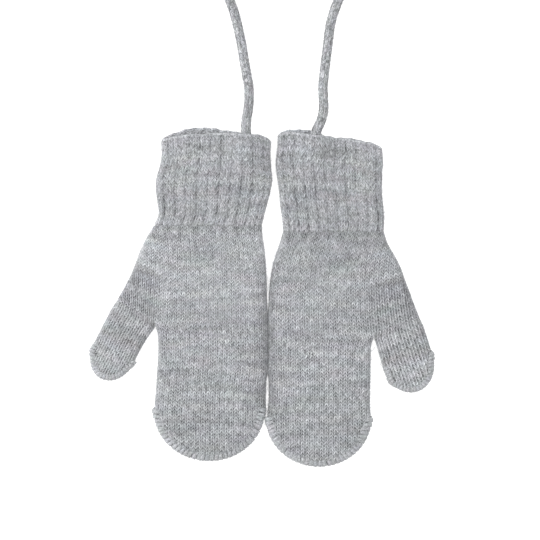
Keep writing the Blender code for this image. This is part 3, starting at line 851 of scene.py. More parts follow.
def press_in(points, depth, outward, rims):
    """Move points of a grid inwards by depth, square to the cloth.

    outward is 1 for a front layer and -1 for a back one. rims marks points on a side fold, where
    both layers have to move alike, so they move level with the surface.
    """
    normal = face_normals_of(points, outward)
    normal[rims, 2] = 0.0
    return points - unit(normal) * depth[..., None]


# %% [markdown]
# ## The hand
#
# The hand is knitted round from the wrist, and it widens into the root of the thumb. Its wales
# keep an even width, so new ones start along the thumb's side as the cloth widens there. Below
# the crotch the tube is only as wide as the fingers. Front and back are two grids with the same
# outline. A few functions find the place of any stitch: first the course's line across the hand,
# then the distance along it, and last the height.
#
# The cloth doesn't look alike all over. The cuff's ribs run on faintly into the first courses.
# Towards the finger tips the legs of the stitches stand out more, and beside the thumb, where the
# cloth is stretched, they open into short dark dashes.

# %% Lines of the courses
PALM_COURSES = 30  # from the wrist to the crotch
COURSE = 1.6
WRIST_WALE = 2.17
CLOTH_UNDER_SEAM = 1.2  # distance from the seam's outer edge in to the edge of the cloth
WIDE_KNEE, TIGHT_KNEE = 9.0, 1.0  # how softly a course bends, at the wrist and at the crotch


def inner_edge(m, table, v):
    """The hand's inner edge, with the slight swell where the mittens touch each other."""
    return read_curve(table[:, 0], table[:, 1], v) - read_curve(m.nudge[:, 0], m.nudge[:, 1], v)


def palm_ends(m, part):
    """Start, knee and end of a course between the wrist, 0, and the crotch, 1."""
    wrist_v = m.palm[0, 0]
    row_v = m.crotch[1] + FOLD_RADIUS
    hand_v = wrist_v + (row_v - wrist_v) * part
    edge_v = wrist_v + (m.thumb_edge_v - wrist_v) * part
    start_u = inner_edge(m, m.palm, hand_v)
    end_u = read_curve(m.palm[:, 0], m.palm[:, 2], edge_v)
    even = start_u + (end_u - start_u) * 0.7
    knee_u = even + (m.crotch[0] - even) * part
    return start_u, hand_v, knee_u, end_u, edge_v


def along_course(start_u, hand_v, knee_u, end_u, edge_v, soft, distance):
    """The point at a distance along a course, with its knee rounded off."""
    first = knee_u - start_u
    second = np.hypot(end_u - knee_u, edge_v - hand_v)
    lean_u, lean_v = (end_u - knee_u) / second, (edge_v - hand_v) / second
    soft = np.minimum(soft, 0.9 * np.minimum(first, second))
    past = distance - first
    t = np.clip((past + soft) / (2 * soft), 0.0, 1.0)
    straight_u = np.where(past < 0, start_u + distance, knee_u + past * lean_u)
    straight_v = np.where(past < 0, hand_v, hand_v + past * lean_v)
    far_u, far_v = knee_u + soft * lean_u, hand_v + soft * lean_v
    bend_u = (knee_u - soft) * (1 - t) ** 2 + knee_u * 2 * t * (1 - t) + far_u * t * t
    bend_v = hand_v * (1 - t * t) + far_v * t * t
    inside = np.abs(past) < soft
    return np.where(inside, bend_u, straight_u), np.where(inside, bend_v, straight_v)


def palm_place(m, wale, course):
    """u, v, distance to the nearer side fold, and share across, above the crotch."""
    part = np.clip(course / PALM_COURSES, 0.0, 1.0)
    ends = palm_ends(m, part)
    first = ends[2] - ends[0]
    second = np.hypot(ends[3] - ends[2], ends[4] - ends[1])
    last = palm_ends(m, 1.0)
    hand_wale = (last[2] - last[0] + FOLD_EXTRA) / m.hand_wales
    thumb_wale = (np.hypot(last[3] - last[2], last[4] - last[1]) + FOLD_EXTRA) / m.thumb_wales
    hand_pitch = WRIST_WALE + (hand_wale - WRIST_WALE) * part
    thumb_pitch = WRIST_WALE + (thumb_wale - WRIST_WALE) * part
    s = np.minimum(wale, m.hand_wales) * hand_pitch
    s = s + np.clip(wale - m.hand_wales, 0.0, None) * thumb_pitch
    length = first + second
    distance = np.clip(round_fold(np.minimum(s, length + 2 * FOLD_EXTRA), length), 0.0, length)
    soft = WIDE_KNEE + (TIGHT_KNEE - WIDE_KNEE) * part
    u, v = along_course(*ends, soft, distance)
    return u, v, np.minimum(distance, length - distance), distance / length


def hand_outer(m):
    """Outer edge of the hand below the crotch, as v and u."""
    u, v = m.crotch
    row_v = v + FOLD_RADIUS
    return np.concatenate(([row_v, v], m.hand[:, 0])), np.concatenate(([u, u], m.hand[:, 2]))


def fingers_place(m, wale, course):
    """The same as palm_place for the fingers' tube, from the crotch down to the curved tip."""
    row_v = m.crotch[1] + FOLD_RADIUS
    v = row_v - np.clip(course - PALM_COURSES, 0.0, None) * COURSE
    start = inner_edge(m, np.concatenate((m.palm, m.hand)), v)
    end = read_curve(*hand_outer(m), v)
    length = end - start
    share = wale / m.hand_wales
    open_side = round_fold(share * (length + FOLD_EXTRA), length, far_fold=False)
    distance = closing_fold(share, length, open_side, row_v - v)
    u = start + distance
    at_notch = np.hypot(u - m.crotch[0], v - m.crotch[1])
    far_reach = np.where(v > m.crotch[1], at_notch, length - distance)
    return u, v, np.minimum(distance, far_reach), distance / length


def to_tip(u, v, reach, tip, along_sign):
    """Hold points inside a curved end, and measure how far they are from it.

    along_sign is -1 where the end lies towards lower v, and 1 where it lies towards higher.
    """
    half, length = tip.half - CLOTH_UNDER_SEAM, tip.length - CLOTH_UNDER_SEAM
    past = (v - tip.start) * along_sign
    side = np.clip((u - tip.middle) / half, -1.0, 1.0)
    limit = length * np.sqrt(1.0 - side * side)
    over = past > limit
    held_u = np.where(past > 0, tip.middle + side * half, u)
    held_v = np.where(over, tip.start + along_sign * limit, v)
    spread = np.sqrt(side**2 + (np.clip(past, 0.0, limit) / length) ** 2)
    near = (1.0 - np.clip(spread, 0.0, 1.0)) * min(half, length)
    reach = np.where(past > 0, np.minimum(reach, near), reach)
    fall = np.where(past > 0, np.clip(1.0 - spread**2, 0.0, 1.0) ** 0.35, 1.0)
    return held_u, held_v, reach, over, fall


# %% Knit the hands
TIP_COURSES = 46  # from the crotch to the curved end
RIBS_ROUND = 22
CARRIED_RIBS, CARRIED_COURSES = 0.35, 6.0  # how deep the cuff's ribs run on, and how far
LOWER_FROM, LOWER_OVER = 8.0, 30.0  # v where the lower relief begins, and how slowly it does
LOWER_TONE = 0.90
# depths across the steps of a wale and along the steps of a course, in three kinds of place
UPPER_ACROSS, UPPER_ALONG = (0.32, 0.0, 0.38, 0.0), (0.60, 0.15, 0.0, 0.15)
THUMB_ACROSS, THUMB_ALONG = (0.70, 0.0, 0.70, 0.0), (0.42, 0.10, 0.0, 0.10)
LOWER_ACROSS, LOWER_ALONG = (0.46, 0.0, 0.52, 0.0), (0.56, 0.14, 0.0, 0.14)


def hand_surface(m, outward, wale, course):
    """The smooth outer face of one layer of the hand: the front for 1 and the back for -1.

    Past the crotch's column the cloth ends at the thumb's joint line.
    """
    in_thumb = wale > m.hand_wales
    held = np.where(in_thumb, np.minimum(course, PALM_COURSES), course)
    above = held <= PALM_COURSES
    palm = palm_place(m, wale, held)
    fingers = fingers_place(m, np.minimum(wale, m.hand_wales), held)
    u, v, reach, share = (np.where(above, a, b) for a, b in zip(palm, fingers))
    u, v, reach, over, fall = to_tip(u, v, reach, m.hand_tip, -1)
    rise = 0.0
    if outward > 0:
        rim_share = palm_place(m, wale, np.full_like(held, PALM_COURSES))[3]
        rim_share = rim_share + (share - rim_share) * ease((held - PALM_COURSES) / 8.0)
        share = np.where(above, share, rim_share)
        rise = np.minimum(front_rise(m, share, u, v, CROWN), CROWN * fall) * round_edge(reach)
    z = FOLD_RADIUS + outward * FOLD_RADIUS * round_edge(reach) + rise
    return to_world(m, u, v, z), v, reach, over, above


def press_hand(points, depth, outward, rims, above, split):
    """press_in for the hand: below the crotch, its last column is an edge and not a middle."""
    body = press_in(points[:, : split + 1], depth[:, : split + 1], outward, rims[:, : split + 1])
    whole = press_in(points, depth, outward, rims)
    whole[:, : split + 1] = np.where(above[:, : split + 1, None], whole[:, : split + 1], body)
    return whole


def hand_layer(m, outward):
    """The knitted outer face and the plain inner face of one layer of the hand."""
    courses = PALM_COURSES + TIP_COURSES
    wale, course, yarn_course, row, column = zigzag(m.hand_wales + m.thumb_wales, courses)
    split = m.hand_wales * WALE_STEPS
    in_thumb = wale > m.hand_wales
    points, v, reach, over, above = hand_surface(m, outward, wale, course)
    upper = leg_relief(row, column, UPPER_ACROSS, UPPER_ALONG, 0.4)
    lower = leg_relief(row, column, LOWER_ACROSS, LOWER_ALONG, 0.4)
    below = ease((LOWER_FROM - v) / LOWER_OVER)
    depth = upper + (lower - upper) * below
    near_thumb = ease((wale - m.hand_wales + 2.5) / 4.0) * ease((course - 13.0) / 8.0)
    dashes = leg_relief(row, column, THUMB_ACROSS, THUMB_ALONG)
    depth = depth + (dashes - depth) * near_thumb * (course < PALM_COURSES)
    rib_waves = 0.5 + 0.5 * np.cos(math.pi * RIBS_ROUND * wale / (m.hand_wales + m.thumb_wales))
    depth = depth + CARRIED_RIBS * rib_waves * (1.0 - ease(course / CARRIED_COURSES))
    at_joint = (course <= 0.0) | (in_thumb & (course >= PALM_COURSES))
    depth = np.where(at_joint, JOINT_DIP, depth)
    on_web = (wale == m.hand_wales) & (course > PALM_COURSES) & (v > m.crotch[1])
    depth = settle(depth, reach, over | on_web)
    rims = on_fold(reach, over)
    depth = np.where(rims, np.where(in_thumb, 0.0, FOLD_DIP), depth)
    outer = press_hand(points, depth, outward, rims, above, split)
    if outward > 0:
        hair_beds[m.name].append(outer[:, : split + 1])
    beside = in_thumb[1:, 1:] & ~in_thumb[:-1, :-1]
    keep = ~(beside & (course[:-1, :-1] >= PALM_COURSES))
    stitch = np.stack((wale, yarn_course), axis=-1)
    flip = (outward * m.thumb_side) < 0
    edge_wales, edge_shade = m.edge_shade
    shade = m.palm_tone + (LOWER_TONE - m.palm_tone) * below - 0.06 * ease((-44.0 - v) / 16.0)
    # Painted shadow: the first wales from the inner edge are painted darker, where the two mittens
    # touch and shade each other.
    shade = shade - edge_shade * ease(1.0 - wale / edge_wales) * ease((24.0 - v) / 16.0)
    shade = shade - 0.08 * near_thumb * (course < PALM_COURSES)
    tones = leg_tones(row, column) * shade[:-1, :-1]
    knit = make_grid(outer, stitch, depth, tones, keep, flip)

    joint = [PALM_COURSES - 0.4, PALM_COURSES, PALM_COURSES + 0.4]
    palm = [0.0, 0.4] + list(range(2, PALM_COURSES, 2))
    fingers = list(range(PALM_COURSES + 2, courses + 1, 2))
    wales, rows = sparse_rows(wale, palm + joint + fingers)
    points, _, reach, over, above = hand_surface(m, outward, wales, rows)
    depth, rims = np.where(over, 0.0, INNER_FACE), on_fold(reach, over)
    inner = press_hand(points, depth, outward, rims, above, split)
    inner[0] = outer[0]
    in_thumb = wales > m.hand_wales
    inner[in_thumb & (rows == PALM_COURSES)] = outer[-1][in_thumb[0]]
    keep = ~(in_thumb[1:, 1:] & (rows[1:, 1:] > PALM_COURSES))
    lining = plain_grid(inner, wales, rows, keep, not flip)
    return [knit, lining], cut_area(points, keep)


for m in MITTENS:
    (front, front_area), (back, back_area) = hand_layer(m, 1), hand_layer(m, -1)
    hand = sew(f"{m.name}_hand_knit", front + back, yarns["plain_knit"])
    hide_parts(f"{m.name}_hand")
    length = m.palm[0, 0] - m.hand_tip.start + m.hand_tip.length
    width = 2 * (m.palm[-1, 2] - m.palm[-1, 1])
    lay_cloth(hand, width, length, front_area + back_area)

# %% [markdown]
# ## The thumb
#
# The thumb goes on from the joint line at the hand, turned outwards. It is knitted like the hand,
# but its legs are steeper and more open, so they show as rows of short dark dashes along it.

# %% Knit the thumbs
THUMB_LEAN = 1.25  # how steep the legs of the stitches are, where the hand has 1
THUMB_PAST_TIP = 2.4  # cloth past the curved end's height, which turns over in the seam
TURNS_WIDTH = 2.9  # width of cloth in the two side folds of one layer


def on_thumb(m, along, across):
    """A point of the thumb: along its axis from its root, and across it, away from the hand."""
    angle = math.radians(m.thumb_angle)
    u, v = m.thumb_root
    return (
        u + along * math.sin(angle) + across * math.cos(angle),
        v - along * math.cos(angle) + across * math.sin(angle),
    )


def in_thumb_frame(m, u, v):
    """Along and across of a point that is given as u and v."""
    angle = math.radians(m.thumb_angle)
    du, dv = u - m.thumb_root[0], v - m.thumb_root[1]
    return (
        du * math.sin(angle) - dv * math.cos(angle),
        du * math.cos(angle) + dv * math.sin(angle),
    )


def thumb_surface(m, outward, wale, course):
    """The smooth outer face of one layer of the thumb, from the joint line to the curved end."""
    _, row_v, knee_u, end_u, edge_v = palm_ends(m, 1.0)
    rim_in = in_thumb_frame(m, knee_u, row_v)
    rim_out = in_thumb_frame(m, end_u, edge_v)
    notch = in_thumb_frame(m, *m.crotch)
    share = wale / m.thumb_wales
    along = rim_in[0] + (rim_out[0] - rim_in[0]) * share + course * COURSE
    inner_at = np.concatenate(([rim_in[0], notch[0]], m.thumb[:, 0]))
    inner_across = np.concatenate(([rim_in[1], notch[1]], m.thumb[:, 1]))
    outer_at = np.concatenate(([rim_out[0]], m.thumb[:, 0]))
    outer_across = np.concatenate(([rim_out[1]], m.thumb[:, 2]))
    inner = np.where(
        along < m.thumb[0, 0],
        np.interp(along, inner_at, inner_across),
        read_curve(m.thumb[:, 0], m.thumb[:, 1], along),
    )
    length = read_curve(outer_at, outer_across, along) - inner
    from_far = round_fold((1.0 - share) * (length + FOLD_EXTRA), length, far_fold=False)
    distance = closing_fold(share, length, length - from_far, along - rim_in[0])
    across = inner + distance
    at_notch = np.hypot(across - notch[1], along - notch[0])
    on_web = along < notch[0]
    reach = np.minimum(np.where(on_web, at_notch, distance), length - distance)
    across, along, reach, over, fall = to_tip(across, along, reach, m.thumb_tip, 1)
    u, v = on_thumb(m, along, across)
    rise = 0.0
    if outward > 0:
        rise = np.minimum(front_rise(m, distance / length, u, v, THUMB_CROWN), THUMB_CROWN * fall)
        rim = palm_place(m, m.hand_wales + wale, np.full_like(wale, PALM_COURSES))
        rim_rise = front_rise(m, rim[3], rim[0], rim[1], CROWN)
        rise = (rim_rise + (rise - rim_rise) * ease(course / 6.0)) * round_edge(reach)
    z = FOLD_RADIUS + outward * FOLD_RADIUS * round_edge(reach) + rise
    return to_world(m, u, v, z), reach, over, on_web


def thumb_layer(m, outward):
    """The knitted outer face and the plain inner face of one layer of the thumb."""
    courses = int((m.thumb_tip.start + m.thumb_tip.length + THUMB_PAST_TIP) / COURSE) + 2
    wale, course, yarn_course, row, column = zigzag(m.thumb_wales, courses, THUMB_LEAN)
    points, reach, over, on_web = thumb_surface(m, outward, wale, course)
    depth = leg_relief(row, column, THUMB_ACROSS, THUMB_ALONG)
    depth = np.where(course <= 0.0, JOINT_DIP, depth)
    on_web = (wale == 0.0) & on_web
    rims = on_fold(reach, over)
    depth = np.where(rims, FOLD_DIP, settle(depth, reach, over | on_web))
    outer = press_in(points, depth, outward, rims)
    if outward > 0:
        hair_beds[m.name].append(outer)
    flip = (outward * m.thumb_side) < 0
    stitch = np.stack((wale + THUMB_YARN, yarn_course), axis=-1)
    tones = leg_tones(row, column) * (0.95 + 0.07 * ease(course / 22.0))[:-1, :-1]
    knit = make_grid(outer, stitch, depth, tones, None, flip)

    wales, rows = sparse_rows(wale, [0.0, 0.4] + list(range(2, courses + 1, 2)))
    points, reach, over, _ = thumb_surface(m, outward, wales, rows)
    inner = press_in(points, np.where(over, 0.0, INNER_FACE), outward, on_fold(reach, over))
    inner[0] = outer[0]
    lining = plain_grid(inner, wales, rows, None, not flip)
    return [knit, lining], cut_area(points, lining.keep)


for m in MITTENS:
    (front, front_area), (back, back_area) = thumb_layer(m, 1), thumb_layer(m, -1)
    thumb = sew(f"{m.name}_thumb_knit", front + back, yarns["thumb_knit"])
    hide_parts(f"{m.name}_thumb")
    length = m.thumb_tip.start + m.thumb_tip.length + THUMB_PAST_TIP
    width = 2 * (m.thumb[0, 2] - m.thumb[0, 1] + TURNS_WIDTH)
    lay_cloth(thumb, width, length, front_area + back_area)

# %% [markdown]
# ## The ribbed cuff
#
# The cuff is a two and two rib: two wales are knitted on the front and the next two on the back,
# all the way round. The back ones sink behind the cloth and the front ones close over them, so
# what shows is ribs of two wales, with a soft dark groove between the ribs and a faint line
# between the two wales. The cuff is the one place where the eye can look into the mitten, so its
# cloth is made with both faces and a rounded, slightly scalloped edge between them, where the
# first course was cast on. The front is lifted a little where the cord goes in.

# %% Knit the cuffs
RIB_STEPS = 12  # columns of cells for each rib and its groove
LEG_STEPS = RIB_STEPS // 4
RIB_LEAN = 1.45
RIB_HEIGHT = 0.6
CUFF_COURSES = 30
CORD_LIFT = 3.6
CORD_LIFT_REACH = 12.0
TUCK = 0.35  # how far the cuff's last course goes in under the hand's first one
TUCK_DIP = 0.42
SCALLOP = 0.26  # how much the ribs and the cloth's own waves move the mouth's line
MOUTH_WAVE = 0.8
EDGE_ROUND = 1.0  # how far the rounded edge stands past the two faces' first course
EDGE_STEPS = 6
SEEN_ROWS, HIDDEN_ROWS = 18, 15  # rows of the inner face: fine near the mouth, coarse below
SEEN_STEP, SEEN_SHARE, HIDDEN_STEP = 0.0085, 0.153, 0.055
# depths across the steps of a rib, what opening it adds to them, and depths along a course
RIB_ACROSS =np.array([0.40, 0.26, 0.08, 0.28, 0.0, 0.04, 0.22, 0.04, 0.0, 0.28, 0.08, 0.26])
RIB_OPEN = np.array([0.22, 0.15, 0.04, 0.04, 0.0, 0.03, 0.09, 0.03, 0.0, 0.04, 0.04, 0.15])
RIB_ALONG = np.array([0.36, 0.08, 0.0, 0.08])


def rib_luck(wale, station):
    """Where the ribs have opened a little more, from 0 to about 1."""
    narrow = soft_unevenness(wale * 7.0, station * 55.0, 0.6)
    return narrow * soft_unevenness(wale * 3.1, station * 90.0, 2.0)


def cord_lift(m, u, down):
    """Rise of the front layer over the cord's sewn end, at a distance down from the mouth."""
    away = np.minimum(np.abs(u - m.cord_u) / CORD_LIFT_REACH, 1.0)
    return CORD_LIFT * np.cos(away * math.pi / 2) ** 1.6 * (1.0 - ease((down - 6.0) / 20.0))


def cuff_place(m, turn, station, inset, back_off=0.0):
    """Points of the cuff: turn goes round it from 0 to 2, and station from the mouth to the wrist.

    inset is the depth below the outer face, and back_off a distance down from the mouth's line.
    """
    front = turn <= 1.0
    share_round = np.where(front, turn, 2.0 - turn)
    wrist_v = m.palm[0, 0] - TUCK
    corner_v = m.mouth[0, 1] + (wrist_v - m.mouth[0, 1]) * station
    far_v = m.mouth[-1, 1] + (wrist_v - m.mouth[-1, 1]) * station
    inner = read_curve(m.cuff[:, 0], m.cuff[:, 1], corner_v)
    outer = read_curve(m.cuff[:, 0], m.cuff[:, 2], far_v)
    radius = FOLD_RADIUS + RIB_HEIGHT / 2
    length = outer - inner
    along = share_round * (length + 2 * (math.pi / 2 - 1) * radius)
    distance = np.clip(round_fold(along, length, radius), 0.0, length)
    share = distance / length
    half = round_edge(np.minimum(distance, length - distance), radius)
    lift_part = np.where(front, 0.5 + 0.5 * half, 0.5 - 0.5 * half)
    front_v = read_curve(m.mouth[:, 0], m.mouth[:, 1], share)
    back_v = read_curve(m.mouth[:, 0], m.mouth[:, 2], share)
    mouth_v = back_v + (front_v - back_v) * ease(lift_part)
    mouth_v = mouth_v + SCALLOP * (0.3 - 0.5 * np.cos(2 * math.pi * RIBS_ROUND * turn / 2.0))
    wave = soft_unevenness(80.0 * np.cos(math.pi * turn), 60.0 * np.sin(math.pi * turn), m.middle_x)
    mouth_v = mouth_v + MOUTH_WAVE * (wave - 0.5)
    v = mouth_v - back_off + (wrist_v - mouth_v + back_off) * station
    u = inner + distance
    u = u + inset * (1.0 - 2.0 * share) * (1.0 - half)
    side = np.where(front, 1.0, -1.0)
    top = FOLD_RADIUS + RIB_HEIGHT
    level = FOLD_RADIUS + side * half * (np.where(front, top, FOLD_RADIUS) - inset)
    rise = cord_lift(m, u, mouth_v - v) * ease(lift_part)
    dips = 0.35 * soft_unevenness(u * 1.6, v * 0.7, m.thumb_side * 2.2) + crease_depth(m, u, v)
    swell = (CUFF_CROWN - dips) * np.sin(math.pi * share) ** CROWN_ROUNDNESS
    cuff_z = level + rise + np.where(front, swell, 0.0)
    hand_rise = np.where(front, front_rise(m, share, u, v, CROWN), 0.0)
    flush = side * half * (FOLD_RADIUS - inset) + hand_rise
    z = cuff_z + (FOLD_RADIUS + flush - cuff_z) * ease((station - 0.80) / 0.20)
    return to_world(m, u, v, z)


def cuff_outside(m):
    """The ribbed outer face, whose rows follow the legs of the V stitches."""
    columns = RIBS_ROUND * RIB_STEPS
    column = np.arange(columns + 1)
    row = np.arange(-COURSE_STEPS, (CUFF_COURSES + 1) * COURSE_STEPS + 1)
    wale = np.broadcast_to(2 * column / RIB_STEPS, (len(row), len(column)))
    turn = wale / RIBS_ROUND
    yarn_course = np.broadcast_to(row[:, None] / COURSE_STEPS, wale.shape)
    slant = 2 * RIB_LEAN * (np.abs(wale % 1.0 - 0.5) - 0.25)
    course = np.clip(yarn_course - slant, 0.0, CUFF_COURSES)
    station = course / CUFF_COURSES
    points = cuff_place(m, turn, station, 0.0, EDGE_ROUND)
    opened =0.7 * ease((station - 0.45) / 0.5) + 1.6 * rib_luck(wale, station) - 0.3
    opened = np.clip(opened, 0.0, 1.0) * ease((CUFF_COURSES - course) / 3.0)
    across = RIB_ACROSS[column % RIB_STEPS] + opened * RIB_OPEN[column % RIB_STEPS]
    groove = (column + LEG_STEPS) // RIB_STEPS % RIBS_ROUND
    groove_luck = chance.uniform(0.75, 1.25, RIBS_ROUND)[groove]
    depth = across * groove_luck + RIB_ALONG[row % COURSE_STEPS][:, None]
    shape = (CUFF_COURSES + 4, columns // LEG_STEPS + 1)
    luck = 1.0 + 0.5 * chance.uniform(-1.0, 1.0, shape)
    depth = depth * luck[np.ix_((row - row.min()) // COURSE_STEPS, column // LEG_STEPS)]
    depth[:, -1] = depth[:, 0]
    depth = np.where(course >= CUFF_COURSES, TUCK_DIP, depth)
    depth = np.where(course <= 0.0, RIB_ACROSS[column % RIB_STEPS][None, :] * 0.7, depth)
    normal = face_normals_of(points, np.where(turn <= 1.0, 1.0, -1.0))
    normal[:, 0] = normal[:, -1] = unit(normal[:, 0] + normal[:, -1])
    points = points - normal * depth[..., None]
    hair_beds[m.name].append(points[:, : columns // 2])
    tones = chance.normal(1.0, 0.07, shape)
    tone = tones[np.ix_((row[:-1] - row.min()) // COURSE_STEPS, column[:-1] // LEG_STEPS)]
    stitch = np.stack((wale * 1.2 + CUFF_YARN, yarn_course), axis=-1)
    # the last course, tucked under the hand, takes no painted shade; the rest takes it by depth
    hollow = np.where(course > CUFF_COURSES - 0.5, 0.3, depth)
    return points, make_grid(points, stitch, hollow, tone, None, m.thumb_side < 0)


def cuff_inside(m, rim, wrist):
    """The rounded cast-on edge and the inner face, from the outer face's mouth to its wrist."""
    columns = RIBS_ROUND * RIB_STEPS
    column = np.arange(columns + 1)
    turn = 2 * column / RIB_STEPS / RIBS_ROUND
    leg = column // LEG_STEPS
    rows, courses = [rim], [0.0]
    centre = cuff_place(m, turn, 0.0, CLOTH_THICKNESS, EDGE_ROUND)
    for step in range(1, EDGE_STEPS + 1):
        angle = math.pi * step / EDGE_STEPS
        inset = CLOTH_THICKNESS / 2 * (1.0 - math.cos(angle))
        place = cuff_place(m, turn, 0.0, inset, EDGE_ROUND - EDGE_ROUND * math.sin(angle))
        fade = RIB_ACROSS[column % RIB_STEPS] * 0.7 * (0.5 + 0.5 * math.cos(angle))
        rows.append(place + (centre - place) * (fade / 4.0)[:, None])
        courses.append(-0.3 * step)
    ripple = 0.16 * np.cos(2 * math.pi * column / RIB_STEPS)
    for step in range(1, SEEN_ROWS + HIDDEN_ROWS + 1):
        seen = step <= SEEN_ROWS
        station = min(step * SEEN_STEP, SEEN_SHARE) + max(step - SEEN_ROWS, 0.0) * HIDDEN_STEP
        purl = seen * 0.5 * RIB_ALONG[(step + leg * 2) % COURSE_STEPS]
        bump = purl * (1.0 + 0.4 * chance.uniform(-1.0, 1.0, leg[-1] + 1)[leg])
        inset = CLOTH_THICKNESS - 0.3 + ripple - bump
        row = cuff_place(m, turn, min(station, 1.0), inset, EDGE_ROUND)
        row[-1] = row[0]
        rows.append(row)
        courses.append(-2.0 - step * 0.25)
    rows.append(wrist)
    courses.append(-11.0)
    points = np.stack(rows)
    course = np.broadcast_to(np.array(courses)[:, None], points.shape[:2])
    wale = np.broadcast_to(2 * column / RIB_STEPS, course.shape)
    stitch = np.stack((wale + CUFF_INSIDE_YARN, course), axis=-1)
    # Painted shade on the inner face: darker along the groove down each rib's middle, and less of
    # it on the rounded cast-on edge at the mouth.
    middle = column % RIB_STEPS == RIB_STEPS // 2
    hollow = np.where(middle, 0.6, 0.3) * np.where(course > -1.9, 0.3, 1.0)
    # painted light: the inner face, which takes little light down in the mouth, is painted about 8
    # per cent lighter
    legs = chance.normal(1.08, 0.12, (len(rows) // 4 + 1, columns // LEG_STEPS))
    tone = legs[np.ix_(np.arange(len(rows) - 1) // 4, leg[:-1])]
    return make_grid(points, stitch, hollow, tone, None, m.thumb_side > 0)


for m in MITTENS:
    points, outside = cuff_outside(m)
    inside = cuff_inside(m, points[0], points[-1])
    cuff = sew(f"{m.name}_cuff_knit", [outside, inside], yarns["rib_knit"])
    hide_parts(f"{m.name}_cuff")
    width = 2 * ((m.cuff[:, 2] - m.cuff[:, 1]).mean() + TURNS_WIDTH)
    length = m.mouth[:, 1:].mean() - m.cuff[-1, 0]
    lay_cloth(cuff, width, length, width * length * MM * MM)

# %% [markdown]
# ## The overlocked seams
#
# The hand and the thumb are cut to a curve and closed with an overlock machine. Its threads wrap
# the edge in close loops, which lie across it as small bars of the same yarn, and a thinner
# thread zigzags along their inner ends. Each bar is a bent tube of its own, grooved between its
# strands and spread where it goes round the edge, with a little chance in its place. The thumb's
# bars are shorter and closer than the hand's. At two places of each seam the threads stick out
# as a small ear.

# %% Overlock the curved ends
LEVEL = np.array([1.0, 1.0, 0.0])
BAR_PITCH, THUMB_BAR_PITCH = 2.3, 1.85
THUMB_BITE = 0.62  # how far in a thumb's bar goes, as a share of a hand's bar
EAR_REACH = 1.0
HAND_EARS = (0.0, 180.0)  # degrees round the curved end
THUMB_EARS = {"left": (18.0, 180.0), "right": (0.0, 150.0)}
BAR_THICKNESS = 1.0
BAR_WIDTH = 2.3
BAR_SIDES = 20
BAR_STRANDS = 5
BAR_OVER = 7  # the points of a bar before this one are on its upper side
ZIGZAG_RADIUS = 0.26
BAR_PATH = np.array([
    # distance in from the edge, height
    (4.2, 4.10),
    (3.6, 4.52),
    (3.0, 4.72),
    (2.3, 4.74),
    (1.6, 4.56),
    (0.9, 4.20),
    (0.30, 3.45),
    (0.0, 2.50),
    (0.30, 1.45),
    (1.1, 0.75),
    (2.2, 0.50),
    (3.3, 0.55),
])
BAR_SWELL = np.array([0.5, 0.8, 0.9, 1.0, 1.0, 1.0, 1.0, 1.0, 1.0, 0.8, 0.8, 0.4])
BAR_SPREAD = np.array([0.60, 0.66, 0.74, 0.86, 1.00, 1.20, 1.38, 1.42, 1.38, 1.1, 0.9, 0.6])


def thread_grid(middles, side, radius, sides, stitch_start, widen=1.0, strands=0):
    """A grid round a line of points: widen makes it wider along side, and strands grooves it."""
    turn = 2 * math.pi * np.arange(sides + 1) / sides
    groove = 0.5 - 0.5 * np.cos(strands * turn)
    reach = np.broadcast_to(radius, (len(middles),))[:, None] * (1.0 - 0.22 * groove)
    points = rings_round(middles, side, widen * reach * np.cos(turn), reach * np.sin(turn))
    along = np.arange(len(middles))[:, None] * 0.39 + stitch_start
    around = np.arange(sides + 1) * 3.5 / sides
    stitch = np.stack(np.broadcast_arrays(along, around), axis=-1)
    # Painted shade: each bar is painted darker at its two sides, where it meets the next bar, by a
    # random amount, and a little in the grooves between its strands.
    slit_shade = chance.uniform(0.0, 0.4)
    hollow = 0.2 + slit_shade * np.abs(np.cos(turn)) ** 3 + 0.12 * groove
    hollow = np.broadcast_to(hollow, points.shape[:2])
    tone = chance.normal(1.0, 0.08, (len(middles) - 1, sides))
    return make_grid(points, stitch, hollow, tone)


def around_tip(tip, degrees):
    """A point of a curved end's outline and the direction out of it, as across and past."""
    angle = np.radians(degrees)
    half, length = tip.half - BAR_THICKNESS / 2, tip.length - BAR_THICKNESS / 2
    out = unit(np.stack((np.cos(angle) / half, np.sin(angle) / length), axis=-1))
    spot = np.stack((half * np.cos(angle), length * np.sin(angle)), axis=-1)
    return spot, out


def even_angles(tip, pitch, start=-1.5, end=181.5):
    """Angles of places at an even pitch round a curved end."""
    fine = np.linspace(start, end, 2000)
    travel = travelled(around_tip(tip, fine)[0])
    count = int(travel[-1] / pitch)
    return np.interp(np.linspace(0.0, travel[-1], count + 1), travel, fine)


def on_hand(m, along, across):
    """A point of the hand's curved end, like on_thumb for the thumb's."""
    return across, 2 * m.hand_tip.start - along


